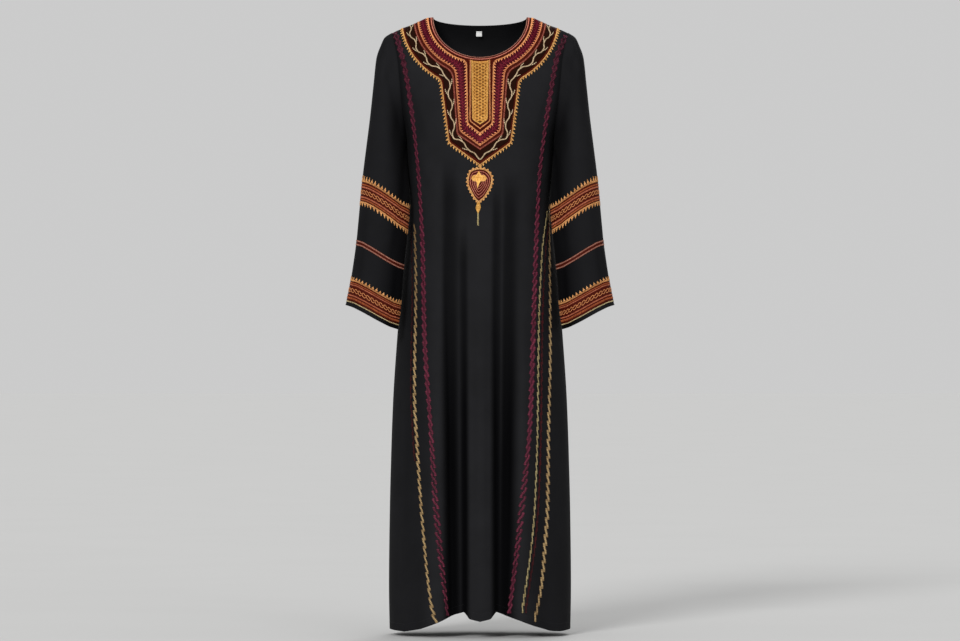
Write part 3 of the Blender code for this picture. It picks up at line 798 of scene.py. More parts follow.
def sleeve_cloth(side_name):
    """A sleeve, from its armhole seam to its cuff."""
    places = np.concatenate([
        np.linspace(0, 1, 15)[:-1],
        np.linspace(1, LAST_PLACE - CUFF_SHARE, SLEEVE_ROWS)[:-1],
        np.linspace(LAST_PLACE - CUFF_SHARE, LAST_PLACE, CUFF_ROWS),
    ])
    angle, place = [grid.ravel() for grid in np.meshgrid(SLEEVE_ANGLES, places)]
    points = SLEEVES[side_name].point(angle, place)
    faces = grid_faces(len(places), SLEEVE_COLUMNS, True, SIDES[side_name] < 0)
    name = f"sleeve_cloth_{side_name}"
    mesh = mesh_of(name, points, faces, [BLACK_CREPE])
    degrees = np.degrees(angle)
    inward = sleeve_inward(degrees, place, SIDES[side_name])
    # Painted shade: the whole sleeve darker towards its cuff, more on its side toward the body, and in its
    # creases
    tone = mix(*SLEEVE_PAINTED_SHADES, place / LAST_PLACE)
    toward_body = smooth((105 - np.abs(degrees - 180)) / 65)
    set_painted_shade(mesh, tone + SLEEVE_SHADE * toward_body + CREASE_SHADE * inward)
    return thicken(add_object(name, mesh, "black_crepe", [f"sleeve_{side_name}"]), SHELL)


# The form of a stitch: it rises to its full width and height over a share of its length,
# or of its width where that is less, from ends of a share of its height
STITCH_END_LENGTH = 0.22
STITCH_END_WIDTH = 0.6
STITCH_END_HEIGHT = 0.25


class Stitches:
    """Raised stitches of one colour on one surface, kept until they are made one mesh."""

    def __init__(self, name, colour, surface=FRONT, slot=YOKE_SLOT):
        self.name = name
        self.material = THREADS[colour]
        self.surface = surface
        self.slot = slot
        self.rows = []

    def add(self, starts, ends, width, height, lift=STITCH_LIFT, tone=None):
        """Stitches between charted places; width and height are in metres, for each or all."""
        count = len(starts)
        tones = rng.uniform(0.2, 0.9, count) if tone is None else np.broadcast_to(tone, count)
        sizes = [np.broadcast_to(value, count) for value in (width, height, lift)]
        self.rows.append((starts, ends, *sizes, tones))

    def make(self):
        parts = [np.concatenate(part) for part in zip(*self.rows)]
        starts, ends, width, height, lift, tones = parts
        first, first_normal = self.surface.at(starts)
        last, last_normal = self.surface.at(ends)
        first = first + first_normal * lift[:, None]
        last = last + last_normal * lift[:, None]
        run = last - first
        length = np.linalg.norm(run, axis=1, keepdims=True)
        ahead = unit(run)
        up = unit(first_normal + last_normal)
        beside = unit(np.cross(up, ahead))
        half = 0.5 * width[:, None]
        tall = height[:, None]
        inset = np.minimum(STITCH_END_LENGTH * length, STITCH_END_WIDTH * width[:, None])
        near = first + ahead * inset
        far = last - ahead * inset
        points = np.stack([
            first + up * tall * STITCH_END_HEIGHT,
            near + beside * half, near - beside * half, near + up * tall,
            far + beside * half, far - beside * half, far + up * tall,
            last + up * tall * STITCH_END_HEIGHT,
        ], axis=1)
        corners = [
            (0, 2, 3), (0, 3, 1), (0, 1, 2), (7, 4, 6), (7, 6, 5), (7, 5, 4),
            (1, 3, 6, 4), (3, 2, 5, 6), (2, 1, 4, 5),
        ]
        faces = []
        for index in range(len(starts)):
            faces.extend([tuple(8 * index + c for c in face) for face in corners])
        mesh = mesh_of(self.name, points.reshape(-1, 3), faces, [self.material])
        tone = mesh.attributes.new("tone", "FLOAT", "POINT")
        tone.data.foreach_set("value", np.repeat(tones, 8).astype(np.float32))
        sideways = half * np.array([[0, 1, -1, 0, 1, -1, 0, 0]])
        forward = np.concatenate([
            np.zeros_like(length), np.repeat(inset, 3, axis=1),
            np.repeat(length - inset, 3, axis=1), length,
        ], axis=1)
        strands = np.stack([sideways, forward], axis=2).reshape(-1, 2)
        of_corner = np.array([c for face in faces for c in face])
        layer = mesh.uv_layers.new(name="strands")
        layer.uv.foreach_set("vector", strands[of_corner].astype(np.float32).ravel())
        add_object(self.name, mesh, self.slot)


def gather(made, name, *about):
    """The stitches kept under a name, which are begun when it is first asked for."""
    if name not in made:
        made[name] = Stitches(name, *about)
    return made[name]


def make_all(made):
    for stitches in made.values():
        stitches.make()


class Trail:
    """A line on the front or back, measured along the cloth, with its sideways direction."""

    def __init__(self, surface, chart, side=1):
        points, normals = surface.at(chart)
        self.distance = lengths_along(points)
        self.length = self.distance[-1]
        self.chart = chart
        beside = np.cross(normals, unit(np.gradient(points, axis=0))) * side
        self.beside = beside[:, [0, 2]]

    def at(self, along, aside=0):
        """Charted places at distances along the trail and to its side."""
        places = []
        for at, beside in zip(self.chart.T, self.beside.T):
            place = np.interp(along, self.distance, at)
            places.append(place + aside * np.interp(along, self.distance, beside))
        return np.stack(places, axis=1)


DOWN_PLACES = np.linspace(0, LAST_PLACE, 601)
DOWN = lengths_along(SLEEVES["left"].point(np.zeros(601), DOWN_PLACES))


def down_at(place):
    """How far down the sleeve's outermost line a place among the rings lies."""
    return np.interp(place, DOWN_PLACES, DOWN)


def place_at(down):
    return np.interp(down, DOWN, DOWN_PLACES)


class Loop:
    """A line round a sleeve, at a distance down it, which may bow and dip to its inner side."""

    def __init__(self, surface, down, bow=0, dip=0):
        self.angles = np.linspace(0, 2 * math.pi, 241)
        self.down = down
        self.bow = bow
        self.dip = dip
        self.distance = lengths_along(surface.point(self.angles, self.place(self.angles)))
        self.length = self.distance[-1]

    def place(self, angle, aside=0):
        across = np.cos(angle)
        shift = self.dip * (0.5 - 0.5 * across) ** 2 - self.bow * (1 - across**2)
        return place_at(self.down + aside + shift)

    def at(self, along, aside=0):
        turn = np.floor(along / self.length)
        angle = np.interp(along - turn * self.length, self.distance, self.angles)
        return stack(angle + turn * 2 * math.pi, self.place(angle, aside))



# Kinds of stitching, each along a trail or loop, between two distances to its side
SATIN_UNEVEN = 0.04         # of a rail's width, at the ends of its stitches
TOOTH_UNEVEN = 0.03         # of the pitch, and how unevenly the teeth reach out
TOOTH_REACH_UNEVEN = 0.07
LIGHT_EVERY = 4             # in the herringbone, one stitch in so many is a light one
LIGHT_TONE = 0.95
DARK_TONE = 0.22
TONE_UNEVEN = 0.10
ROW_OVERLAP = 0.16          # of the herringbone's width, where its two rows meet
CHAIN_WIDTH = 3 * MM
CHAIN_FORM = (0.40, 0.20, 0.80)     # a loop's reach and lean along, and its rise aside


def spaced(trail, pitch):
    """How many stitches of about a pitch fill a trail, where they lie, and their pitch."""
    count = max(2, int(round(trail.length / pitch)))
    pitch = trail.length / count
    return count, (np.arange(count) + 0.5) * pitch, pitch


def satin(stitches, trail, inner, outer, pitch, slant, height, **more):
    """Close stitches across a rail, which read as a cord where they slant."""
    count, along, pitch = spaced(trail, pitch)
    jitter = rng.normal(0, SATIN_UNEVEN, (2, count)) * (outer - inner)
    starts = trail.at(along - 0.5 * slant, inner + jitter[0])
    ends = trail.at(along + 0.5 * slant, outer + jitter[1])
    stitches.add(starts, ends, 1.25 * pitch, height, **more)


def teeth(stitches, trail, root, tip, pitch, lean, spread_share, height):
    """Pointed teeth along a rail, each of three stitches that draw together at its tip."""
    count, along, pitch = spaced(trail, pitch)
    centre = along + rng.normal(0, TOOTH_UNEVEN * pitch, count)
    reach = (tip - root) * (1 + rng.normal(0, TOOTH_REACH_UNEVEN, count))
    apart = spread_share * pitch
    for place, share in ((-1, 0.55), (1, 0.55), (0, 1)):
        foot = centre + place * apart - 0.2 * lean
        starts = trail.at(foot, root - 0.15 * (tip - root))
        ends = trail.at(centre + 0.3 * place * apart + lean * share, root + reach * share)
        stitches.add(starts, ends, 1.15 * apart, height * (0.9 + 0.1 * share))


def herringbone(stitches, trail, inner, outer, pitch, lean, height):
    """Two rows of slanted stitches that meet along the rail's middle, some of them light."""
    count, along, pitch = spaced(trail, pitch)
    middle = 0.5 * (inner + outer)
    overlap = ROW_OVERLAP * (outer - inner)
    for near, far, shift in ((inner, middle + overlap, 0), (outer, middle - overlap, 2)):
        bright = (np.arange(count) + shift) % LIGHT_EVERY == 0
        tones = np.where(bright, LIGHT_TONE, DARK_TONE) + rng.normal(0, TONE_UNEVEN, count)
        starts = trail.at(along - 0.5 * lean, near)
        ends = trail.at(along + 0.5 * lean, far)
        stitches.add(starts, ends, 1.2 * pitch, height * np.where(bright, 1.2, 1), tone=tones)


def stem(stitches, trail, wander, width, pitch, height):
    """A cord of stem stitches that overlap along a line, which wanders to the side."""
    count = spaced(trail, pitch)[0]
    along = np.linspace(0, trail.length, count)
    reach = 1.1 * pitch
    lean = 0.16 * width
    starts = trail.at(along - reach, wander(along - reach) - lean)
    ends = trail.at(along + reach, wander(along + reach) + lean)
    stitches.add(starts, ends, width, height)


def running(stitches, trail, stitch, gap, width=0.5 * MM, height=0.25 * MM, lift=0):
    """A line of sewing: short stitches with gaps between them."""
    along = spaced(trail, stitch + gap)[1]
    starts = trail.at(along - 0.5 * stitch)
    ends = trail.at(along + 0.5 * stitch)
    stitches.add(starts, ends, width, height, lift=lift)


def chain(stitches, loop, inner, outer, pitch, height):
    """Scroll loops one after another, each an open ring of stem stitches that leans."""
    centres, pitch = spaced(loop, pitch)[1:]
    middle, half = 0.5 * (inner + outer), 0.5 * (outer - inner)
    reach, lean, rise = CHAIN_FORM
    turns = np.linspace(0.10 * math.pi, 2.00 * math.pi, 11)
    for centre in centres:
        along = centre + reach * pitch * np.cos(turns) + lean * pitch * np.sin(turns)
        places = loop.at(along, middle + rise * half * np.sin(turns))
        stitches.add(places[:-1], places[1:], CHAIN_WIDTH, height, tone=0.7)


def lay_rail(stitches, rail, trail, base, edge, tip, tooth, tooth_share):
    """One rail of the embroidery along its trail or loop, in its own kind of stitching."""
    pitch, slant, height = rail.pitch * MM, rail.slant * MM, rail.height * MM
    if rail.kind == "chain":
        chain(stitches, trail, base, edge, pitch, height)
    if rail.kind == "herringbone":
        herringbone(stitches, trail, base, edge, pitch, slant, height)
    if rail.kind == "satin":
        satin(stitches, trail, base, edge, pitch, slant, height)
    if rail.kind == "saw":
        satin(stitches, trail, base, edge, pitch, 0, height)
    if rail.kind in ("saw", "teeth"):
        teeth(stitches, trail, edge, tip, tooth, slant, tooth_share, height)


# The yoke. Each line of it is named by its offset from the neck's edge; the table gives
# where that line runs down the plastron, at its side, its lower corner and its tip.
YOKE_LINES = in_mm(
    "offset side corner corner_z tip_z",
    (0, 16, 14.7, -236.6, -244.6), (9.2, 25.7, 26.1, -243.6, -264.3), (16.6, 33.4, 31.1, -250, -274.3),
    (30.2, 47.2, 40.8, -259.8, -290.5), (37.4, 53.1, 47.2, -265.6, -298.5),
    (46.6, 60.6, 52.9, -272.2, -307.8), (66, 78.1, 64, -286, -330.5),
    (76.4, 87.7, 72.6, -291.8, -345.5), (82.6, 91.6, 76.5, -294, -353),
)
SIDE_Z = -0.177             # the height at which the table's side distances are taken
NECK_BAND = 0.0092          # the lines nearer the neck than this run right round it
CORNER_RADIUS = 5 * MM
# Where lines turn from the neck down the sides, the radius at each offset, in millimetres
JUNCTION_OFFSETS = (9.2, 30, 47, 80)
JUNCTION_RADII = (5, 20, 20, 9)
ARC_STEPS = 90
ARC_BUNCHING = 1.7          # how much the steps draw together at the shoulder seam
TURN_STEPS = 12
SIDE_STEPS = 60
TIP_STEPS = 50
yoke_side, yoke_corner, yoke_corner_z, yoke_tip_z = [
    through(YOKE_LINES, "offset", name) for name in ("side", "corner", "corner_z", "tip_z")
]


def neck_point(offset, angle):
    x = (NECK_HALF + offset) * np.cos(angle)
    z = -(NECK_DROP_FRONT + offset) * np.sin(angle)
    return stack(x, z)


def first_angle(offset):
    """The angle at which a line round the neck leaves the shoulder seam."""
    angles = np.linspace(0, 0.6, 2001)
    x, z = neck_point(offset, angles).T
    below = z < shoulder_line(np.abs(x)) - 0.15 * MM
    return angles[np.argmax(below)]


def corner_of(offset):
    return np.array([yoke_corner(offset), yoke_corner_z(offset)])


def side_line(offset, z):
    """The half distance of a line down the plastron's side."""
    slope = (yoke_side(offset) - yoke_corner(offset)) / (SIDE_Z - yoke_corner_z(offset))
    return yoke_corner(offset) + slope * (z - yoke_corner_z(offset))


def junction(offset, band):
    """Where a line down the side meets the line round the neck at a given offset."""
    angles = np.linspace(0.3, 1.57, 1500)
    x, z = neck_point(band, angles).T
    return angles[np.argmax(x < side_line(offset, z))]


def turn(before, corner, after, steps):
    """A rounded corner, as a curve that leaves one line and joins the next."""
    t = np.linspace(0, 1, steps)[:, None]
    return before * (1 - t) ** 2 + corner * 2 * t * (1 - t) + after * t**2


def toward(start, goal, distance):
    run = goal - start
    return start + run * distance / np.linalg.norm(run)


def side_and_tip(offset, start, joint):
    """The stretch of a yoke line from its joint with the neck to the plastron's tip."""
    corner = corner_of(offset)
    tip = np.array([0, yoke_tip_z(offset)])
    radius = min(CORNER_RADIUS, 0.4 * np.linalg.norm(tip - corner))
    leave = toward(joint, corner, np.linalg.norm(start - joint))
    parts = [turn(start, joint, leave, TURN_STEPS)[:-1]]
    before = toward(corner, joint, radius)
    after = toward(corner, tip, radius)
    parts.append(straight(leave, before, SIDE_STEPS)[:-1])
    parts.append(turn(before, corner, after, TURN_STEPS)[:-1])
    parts.append(straight(after, tip, TIP_STEPS))
    return parts


def yoke_path(offset, side):
    """A line of the yoke, from the shoulder seam round the neck and down to the tip."""
    end = junction(offset, offset)
    joint = neck_point(offset, end)
    radius = np.interp(offset / MM, JUNCTION_OFFSETS, JUNCTION_RADII) * MM
    stop = end - radius / (NECK_HALF + offset)
    t = np.linspace(0, 1, ARC_STEPS) ** ARC_BUNCHING
    arc = neck_point(offset, mix(first_angle(offset), stop, t))
    path = np.concatenate([arc[:-1]] + side_and_tip(offset, arc[-1], joint))
    return path * (side, 1)


def neck_path(offset, side):
    """A line right round the neck, from the shoulder seam to the middle of the front."""
    t = np.linspace(0, 1, ARC_STEPS) ** ARC_BUNCHING
    return neck_point(offset, mix(first_angle(offset), 0.5 * math.pi, t)) * (side, 1)


def panel_path(offset, side):
    """A line of the plastron's middle, from under the neck's band down to its tip."""
    end = junction(offset, NECK_BAND)
    joint = neck_point(NECK_BAND, end)
    start = toward(joint, corner_of(offset), -0.5 * MM)
    return np.concatenate(side_and_tip(offset, start, joint)) * (side, 1)


# The rails of the yoke, from the neck outward. path says where each runs. A saw's teeth
# rise from edge to tip; the other kinds fill from base to edge.
YOKE_RAILS = table(
    "path kind colour base edge tip pitch slant height",
    ("neck", "satin", "pale_pink", 0.2, 2.2, 0, 1.2, 1.2, 1.3),
    ("neck", "satin", "red", 2.5, 3.8, 0, 1.5, 0.8, 0.5),
    ("neck", "satin", "rose", 4, 6.8, 0, 1.2, 1.8, 1.2),
    ("neck", "satin", "red", 7.1, 10.5, 0, 1.5, 1, 0.5),
    ("yoke", "saw", "orange", 10.7, 14.7, 18.6, 1.3, 2.2, 1.3),
    ("yoke", "herringbone", "maroon", 16.8, 32.2, 0, 1.85, 4.6, 0.8),
    ("yoke", "saw", "amber", 37.2, 33.4, 29.6, 1.3, 2, 1.3),
    ("yoke", "satin", "red", 37.8, 41.4, 0, 1.5, 1.4, 0.5),
    ("yoke", "satin", "clay", 41.8, 45.8, 0, 1.3, 2.6, 1.1),
    ("yoke", "satin", "red", 67.8, 70.6, 0, 1.6, 1.8, 0.6),
    ("yoke", "saw", "gold", 71, 75.2, 79.9, 1.35, 2.2, 1.4),
    ("panel", "satin", "bright", -0.8, 3.2, 0, 1.3, 1, 1.2),
    ("panel", "satin", "rust", 3.4, 4.4, 0, 1.5, 0.4, 0.5),
    ("panel", "satin", "orange", 4.4, 7.6, 0, 1.3, 0.8, 1.2),
    ("panel", "satin", "red", 7.8, 10.5, 0, 1.5, 0.8, 0.5),
)
YOKE_PATHS = {"neck": neck_path, "yoke": yoke_path, "panel": panel_path}
TIP_FILL = 0.75             # how far a rail runs past the tip, for each part of its outer half
TOOTH = 7.2 * MM
GOLD_TOOTH = 8.2 * MM       # along the yoke's outer edge
TOOTH_SHARE = 0.23          # how far a tooth's outer stitches stand from its middle one


def yoke_trail(rail, side):
    """A rail's own line, and how far its base, edge and tip lie from that line."""
    middle = 0.5 * (rail.base + (rail.tip or rail.edge)) * MM
    places = [value * MM - middle for value in (rail.base, rail.edge, rail.tip)]
    path = YOKE_PATHS[rail.path](middle, side)
    if rail.path != "neck":
        past = toward(path[-1], 2 * path[-1] - path[-2], TIP_FILL * max(places))
        path = np.concatenate([path, [past]])
    return Trail(FRONT, path, side), places


def yoke_rails():
    made = {}
    for rail in YOKE_RAILS:
        stitches = gather(made, f"yoke_{rail.colour}_{rail.kind}", rail.colour)
        tooth = GOLD_TOOTH if rail.colour == "gold" else TOOTH
        for side in (-1, 1):
            trail, places = yoke_trail(rail, side)
            lay_rail(stitches, rail, trail, *places, tooth, TOOTH_SHARE)
    make_all(made)


# The ground under the rails, from one offset to the next
GROUND_STRIPS = table(
    "path first last material",
    ("neck", 0.6, 9.2, BROWN_GROUND),
    ("panel", 0, 9.2, BROWN_GROUND),
    ("yoke", 9.2, 14.6, BROWN_GROUND),
    ("yoke", 14.6, 33, MAROON_GROUND),
    ("yoke", 33, 46.9, BROWN_GROUND),
    ("yoke", 46.9, 67.6, CHANNEL_GROUND),
    ("yoke", 67.6, 75.4, BROWN_GROUND),
)
STRIP_STEP = 3.2 * MM
MIDDLE_COLUMNS = 17
MIDDLE_ROWS = 70
MIDDLE_END = 0.985          # how much of the way to the tip the middle's ground runs


def neck_arch(x):
    """How far the lower edge of the neck's band stands, at x, above its lowest place."""
    return (NECK_DROP_FRONT + NECK_BAND) * (1 - np.sqrt(1 - (x / (NECK_HALF + NECK_BAND)) ** 2))


def yoke_ground():
    """The close-worked ground of the yoke, with the latticed middle's own ground."""
    strips = []
    for strip in GROUND_STRIPS:
        steps = max(2, int(math.ceil((strip.last - strip.first) * MM / STRIP_STEP)) + 1)
        offsets = np.linspace(strip.first * MM, strip.last * MM, steps)
        for side in (-1, 1):
            rows = [YOKE_PATHS[strip.path](offset, side) for offset in offsets]
            strips.append((rows, side < 0, strip.material))
    across = np.linspace(-1, 1, MIDDLE_COLUMNS)
    rows = []
    for share in np.linspace(0, MIDDLE_END, MIDDLE_ROWS):
        z = mix(neck_point(NECK_BAND, 0.5 * math.pi)[1], yoke_tip_z(0), share)
        x = middle_half(z) * across
        rows.append(stack(x, z + neck_arch(x) * (1 - share)))
    strips.append((rows, False, OCHRE_GROUND))
    charts, faces, face_materials, count = [], [], [], 0
    for rows, flip, material in strips:
        charts.extend(rows)
        made = grid_faces(len(rows), len(rows[0]), False, flip, count)
        faces.extend(made)
        face_materials.extend([GROUNDS.index(material)] * len(made))
        count += len(rows) * len(rows[0])
    lay_ground(
        "yoke_ground", FRONT, charts, faces, "yoke_embroidery", YOKE_SLOT, GROUNDS, face_materials
    )


def middle_half(z):
    """Half the width of the plastron's middle at one height."""
    corner_z = yoke_corner_z(0)
    if z > corner_z:
        return float(side_line(0, z))
    return float(yoke_corner(0) * (z - yoke_tip_z(0)) / (corner_z - yoke_tip_z(0)))


LATTICE_X = 6.75 * MM       # between the lattice's crossings, across and down
LATTICE_Z = 3.6 * MM
LATTICE_TOP = -0.1090
LATTICE_MARGIN = 0.4 * MM
LATTICE_WIDTHS = (2.9 * MM, 4.6 * MM)       # of a bar at the top and at the tip
HEADING = (-0.1036, -0.1094)                # the solid strip above the lattice


def lattice():
    """The net of slanted bars over the plastron's middle, with small dark holes."""
    stitches = Stitches("yoke_lattice", "ochre")
    bars = []
    rows = int((LATTICE_TOP - yoke_tip_z(0)) / LATTICE_Z)
    for row in range(rows):
        z = LATTICE_TOP - row * LATTICE_Z
        end_z = z - LATTICE_Z
        room = middle_half(0.5 * (z + end_z)) - LATTICE_MARGIN
        width = mix(*LATTICE_WIDTHS, (row / rows) ** 2)
        for column in range(-3, 4):
            if (row + column) % 2:
                continue
            for way in (-1, 1):
                x, end_x = column * LATTICE_X, column * LATTICE_X + way * LATTICE_X
                if min(abs(x), abs(end_x)) <= room:
                    x, end_x = np.clip((x, end_x), -room, room)
                    bars.append((x, z, end_x, end_z, width))
    bars = np.array(bars)
    stitches.add(bars[:, :2], bars[:, 2:4], bars[:, 4], MM)
    room = middle_half(HEADING[0]) - LATTICE_MARGIN
    x = np.linspace(-room, room, 25)
    top, low = [stack(x, z + neck_arch(x)) for z in HEADING]
    stitches.add(top, low, 1.7 * MM, 1.1 * MM)
    stitches.make()


VINE_OFFSET = 56.2 * MM
VINE_SWING = 3.7 * MM
VINE_CURL = 0.15            # how much the vine's bends are fuller than a plain wave
VINE_PERIOD = 48 * MM
VINE_WIDTH = 4.3 * MM
VINE_TIP_Z = -0.3292        # where its two ends meet
VINE_TIP_REACH = 30 * MM
VINE_PITCH = 2.1 * MM
VINE_HEIGHT = 1.4 * MM
LEAF_FOOT = 3 * MM          # how far past its bend a leaf leaves the vine
LEAF_BOW = 1.6 * MM
LEAF_BACK = 13.5 * MM       # how far a leaf points back along the vine, and how far aside
LEAF_ASIDE = 5.8 * MM
LEAF_WIDTH = 3.9 * MM


def vine():
    """A cream vine that winds along the yoke's dark channel, with a leaf at each bend."""
    stitches = Stitches("yoke_vine", "vine")
    for side in (-1, 1):
        path = yoke_path(VINE_OFFSET, side)
        at_tip = smooth(1 - np.abs(path[:, 0]) / VINE_TIP_REACH) * (path[:, 1] < SIDE_Z)
        path[:, 1] += (VINE_TIP_Z - yoke_tip_z(VINE_OFFSET)) * at_tip
        trail = Trail(FRONT, path, side)
        bends = int(round(trail.length / (0.5 * VINE_PERIOD)))
        half_period = trail.length / bends

        def wander(along):
            near_tip = smooth((along - trail.length + VINE_TIP_REACH) / VINE_TIP_REACH)
            turn = math.pi * along / half_period
            swing = np.sin(turn) + VINE_CURL * np.sin(3 * turn)
            return -VINE_SWING * swing * (1 - near_tip)

        stem(stitches, trail, wander, VINE_WIDTH, VINE_PITCH, VINE_HEIGHT)
        for bend in range(bends - 1):
            crest = (bend + 0.5) * half_period + rng.normal(0, MM)
            outward = np.sign(wander(crest))
            t = np.linspace(0, 1, 5)
            foot = crest + LEAF_FOOT
            along = foot - (LEAF_BACK + LEAF_FOOT) * t
            reach = wander(foot) * (1 - t) + (wander(crest) + outward * LEAF_ASIDE) * t
            places = trail.at(along, reach + LEAF_BOW * outward * np.sin(math.pi * t))
            thick = LEAF_WIDTH * np.array([0.75, 1.05, 1.1, 0.8])
            stitches.add(places[:-1], places[1:], thick, VINE_HEIGHT, tone=0.85)
    stitches.make()


# The pendant: a drop on its point, round a four-petalled star, with a bead and a tail
DROP_SIDES = in_mm(
    "z half lean",
    (-346.2, 0, -1), (-347.8, 11, -1.2), (-352.1, 20.4, -1.6), (-358.8, 25.4, -0.8), (-367, 28.6, 0),
    (-375, 29.7, -0.2), (-386, 28.2, -0.5), (-398, 23.6, -0.8), (-409, 17.5, -1.2), (-420.4, 10, -2.2),
    (-428.7, 0, -3.4),
)
DROP_CENTRE_Z = -0.3815
DROP_LINE_STEPS = 160
DROP_LINES = table(
    "colour scale width pitch slant height",
    ("tan", 0.915, 5, 1.3, 1.6, 1.4),
    ("red", 0.815, 2, 1.4, 0.8, 0.6),
    ("rose", 0.735, 2.1, 1.3, 1, 1.1),
    ("red", 0.655, 1.9, 1.4, 0.8, 0.6),
    ("rose", 0.58, 2, 1.3, 1, 1.1),
    ("red", 0.505, 1.9, 1.4, 0.8, 0.6),
    ("rose", 0.435, 2.1, 1.3, 0.8, 1.1),
    ("red", 0.365, 1.8, 1.4, 0.8, 0.6),
    ("rose", 0.3, 2, 1.3, 0.8, 1.1),
    ("red", 0.235, 1.7, 1.4, 0.8, 0.6),
    ("rose", 0.175, 1.8, 1.3, 0.8, 1.1),
)
RIM_TEETH = (2.2 * MM, 4.9 * MM)        # from the outermost line to their roots and tips
RIM_TOOTH = 8.2 * MM
RIM_TOOTH_SHARE = 0.24
drop_half = through(DROP_SIDES, "z", "half")
drop_lean = through(DROP_SIDES, "z", "lean")


def drop_path(scale):
    """A line round the drop at a share of its size, from its lower tip round to its tip."""
    t = 2 * math.pi * np.linspace(0, 1, DROP_LINE_STEPS)
    z = mix(DROP_SIDES[-1].z, DROP_SIDES[0].z, 0.5 - 0.5 * np.cos(t))
    x = np.where(t < math.pi, 1, -1) * drop_half(z) * scale + drop_lean(z)
    return stack(x, DROP_CENTRE_Z + (z - DROP_CENTRE_Z) * scale)


def pendant():
    made = {}
    for line in DROP_LINES:
        stitches = gather(made, f"pendant_{line.colour}", line.colour)
        trail = Trail(FRONT, drop_path(line.scale))
        half = 0.5 * line.width * MM
        satin(stitches, trail, -half, half, line.pitch * MM, line.slant * MM, line.height * MM)
    rim = Trail(FRONT, drop_path(DROP_LINES[0].scale), -1)
    teeth(made["pendant_tan"], rim, *RIM_TEETH, RIM_TOOTH, 0, RIM_TOOTH_SHARE, 1.2 * MM)
    star = gather(made, "pendant_star", "bright")
    petals(star)
    bead_and_tail(star)
    make_all(made)


STAR_CENTRE = (-3 * MM, -0.3711)
PETALS = table(
    "angle length width point taper",
    (0, 18.9, 15.5, 0.8, 0.22),
    (180, 17.3, 15.5, 0.8, 0.22),
    (88, 16.8, 23, 0.16, 0.3),
    (263, 23.4, 17.5, 0.08, 0.35),
)
STAR_MARKS = (-2.9, 3.9)    # beside the star's centre, two short dark stitches
PETAL_STITCHES = 13


def petals(stitches):
    """The star's petals, each filled with long stitches that fan from its middle."""
    for petal in PETALS:
        angle = math.radians(petal.angle)
        ahead = np.array([math.cos(angle), math.sin(angle)])
        beside = np.array([-ahead[1], ahead[0]])
        share = np.linspace(-1, 1, PETAL_STITCHES)
        reach = petal.length * MM * (1 - petal.taper * np.abs(share) ** 1.5)
        aside = share * 0.5 * petal.width * MM
        centre = np.array(STAR_CENTRE)
        starts = centre + beside * (0.9 * aside)[:, None] - ahead * MM
        ends = centre + beside * (petal.point * aside)[:, None] + ahead * reach[:, None]
        stitches.add(starts, ends, 1.8 * MM, 1.3 * MM)
    for mark in STAR_MARKS:
        middle = np.array(STAR_CENTRE) + (mark * MM, -1.5 * MM)
        starts = middle + np.array([[-0.4, 4.2], [0.8, 3.6]]) * MM
        ends = middle - np.array([[-0.4, 3.4], [0.8, 3.8]]) * MM
        stitches.add(starts, ends, 1.5 * MM, 1.9 * MM, tone=-0.6)


BEAD_TOP = (-3.6 * MM, -0.4262)
BEAD_END = (-4.3 * MM, -0.4495)
TAIL_END = (-4.6 * MM, -0.4785)
BEAD_HALF = 6.2 * MM
BEAD_STITCHES = 17
TAIL_WIDTH = 4.2 * MM


def bead_and_tail(stitches):
    """The bead that ends the drop, in satin across it, and the plain tail below."""
    top, end, tail_end = np.array([BEAD_TOP, BEAD_END, TAIL_END])
    centre = straight(top, end, BEAD_STITCHES)
    share = np.linspace(0, 1, BEAD_STITCHES)
    half = (BEAD_HALF * np.interp(share, (0, 0.45, 0.6, 1), (0.55, 1, 0.95, 0.3)))[:, None]
    across = np.array([1, 0.12])
    stitches.add(centre - across * half, centre + across * half, 1.6 * MM, 1.5 * MM)
    trail = Trail(FRONT, straight(end, tail_end, 30))
    thread_end = Stitches("pendant_tail", "cream")
    half = 0.5 * TAIL_WIDTH
    satin(thread_end, trail, -half, half, 1.3 * MM, 2.6 * MM, 1.3 * MM, tone=0.25)
    thread_end.make()


def pendant_ground():
    rows = [drop_path(scale)[:-1] for scale in np.linspace(0.05, 0.95, 14)]
    faces = grid_faces(len(rows), len(rows[0]), True, True)
    lay_ground("pendant_ground", FRONT, rows, faces, "pendant_embroidery", YOKE_SLOT)


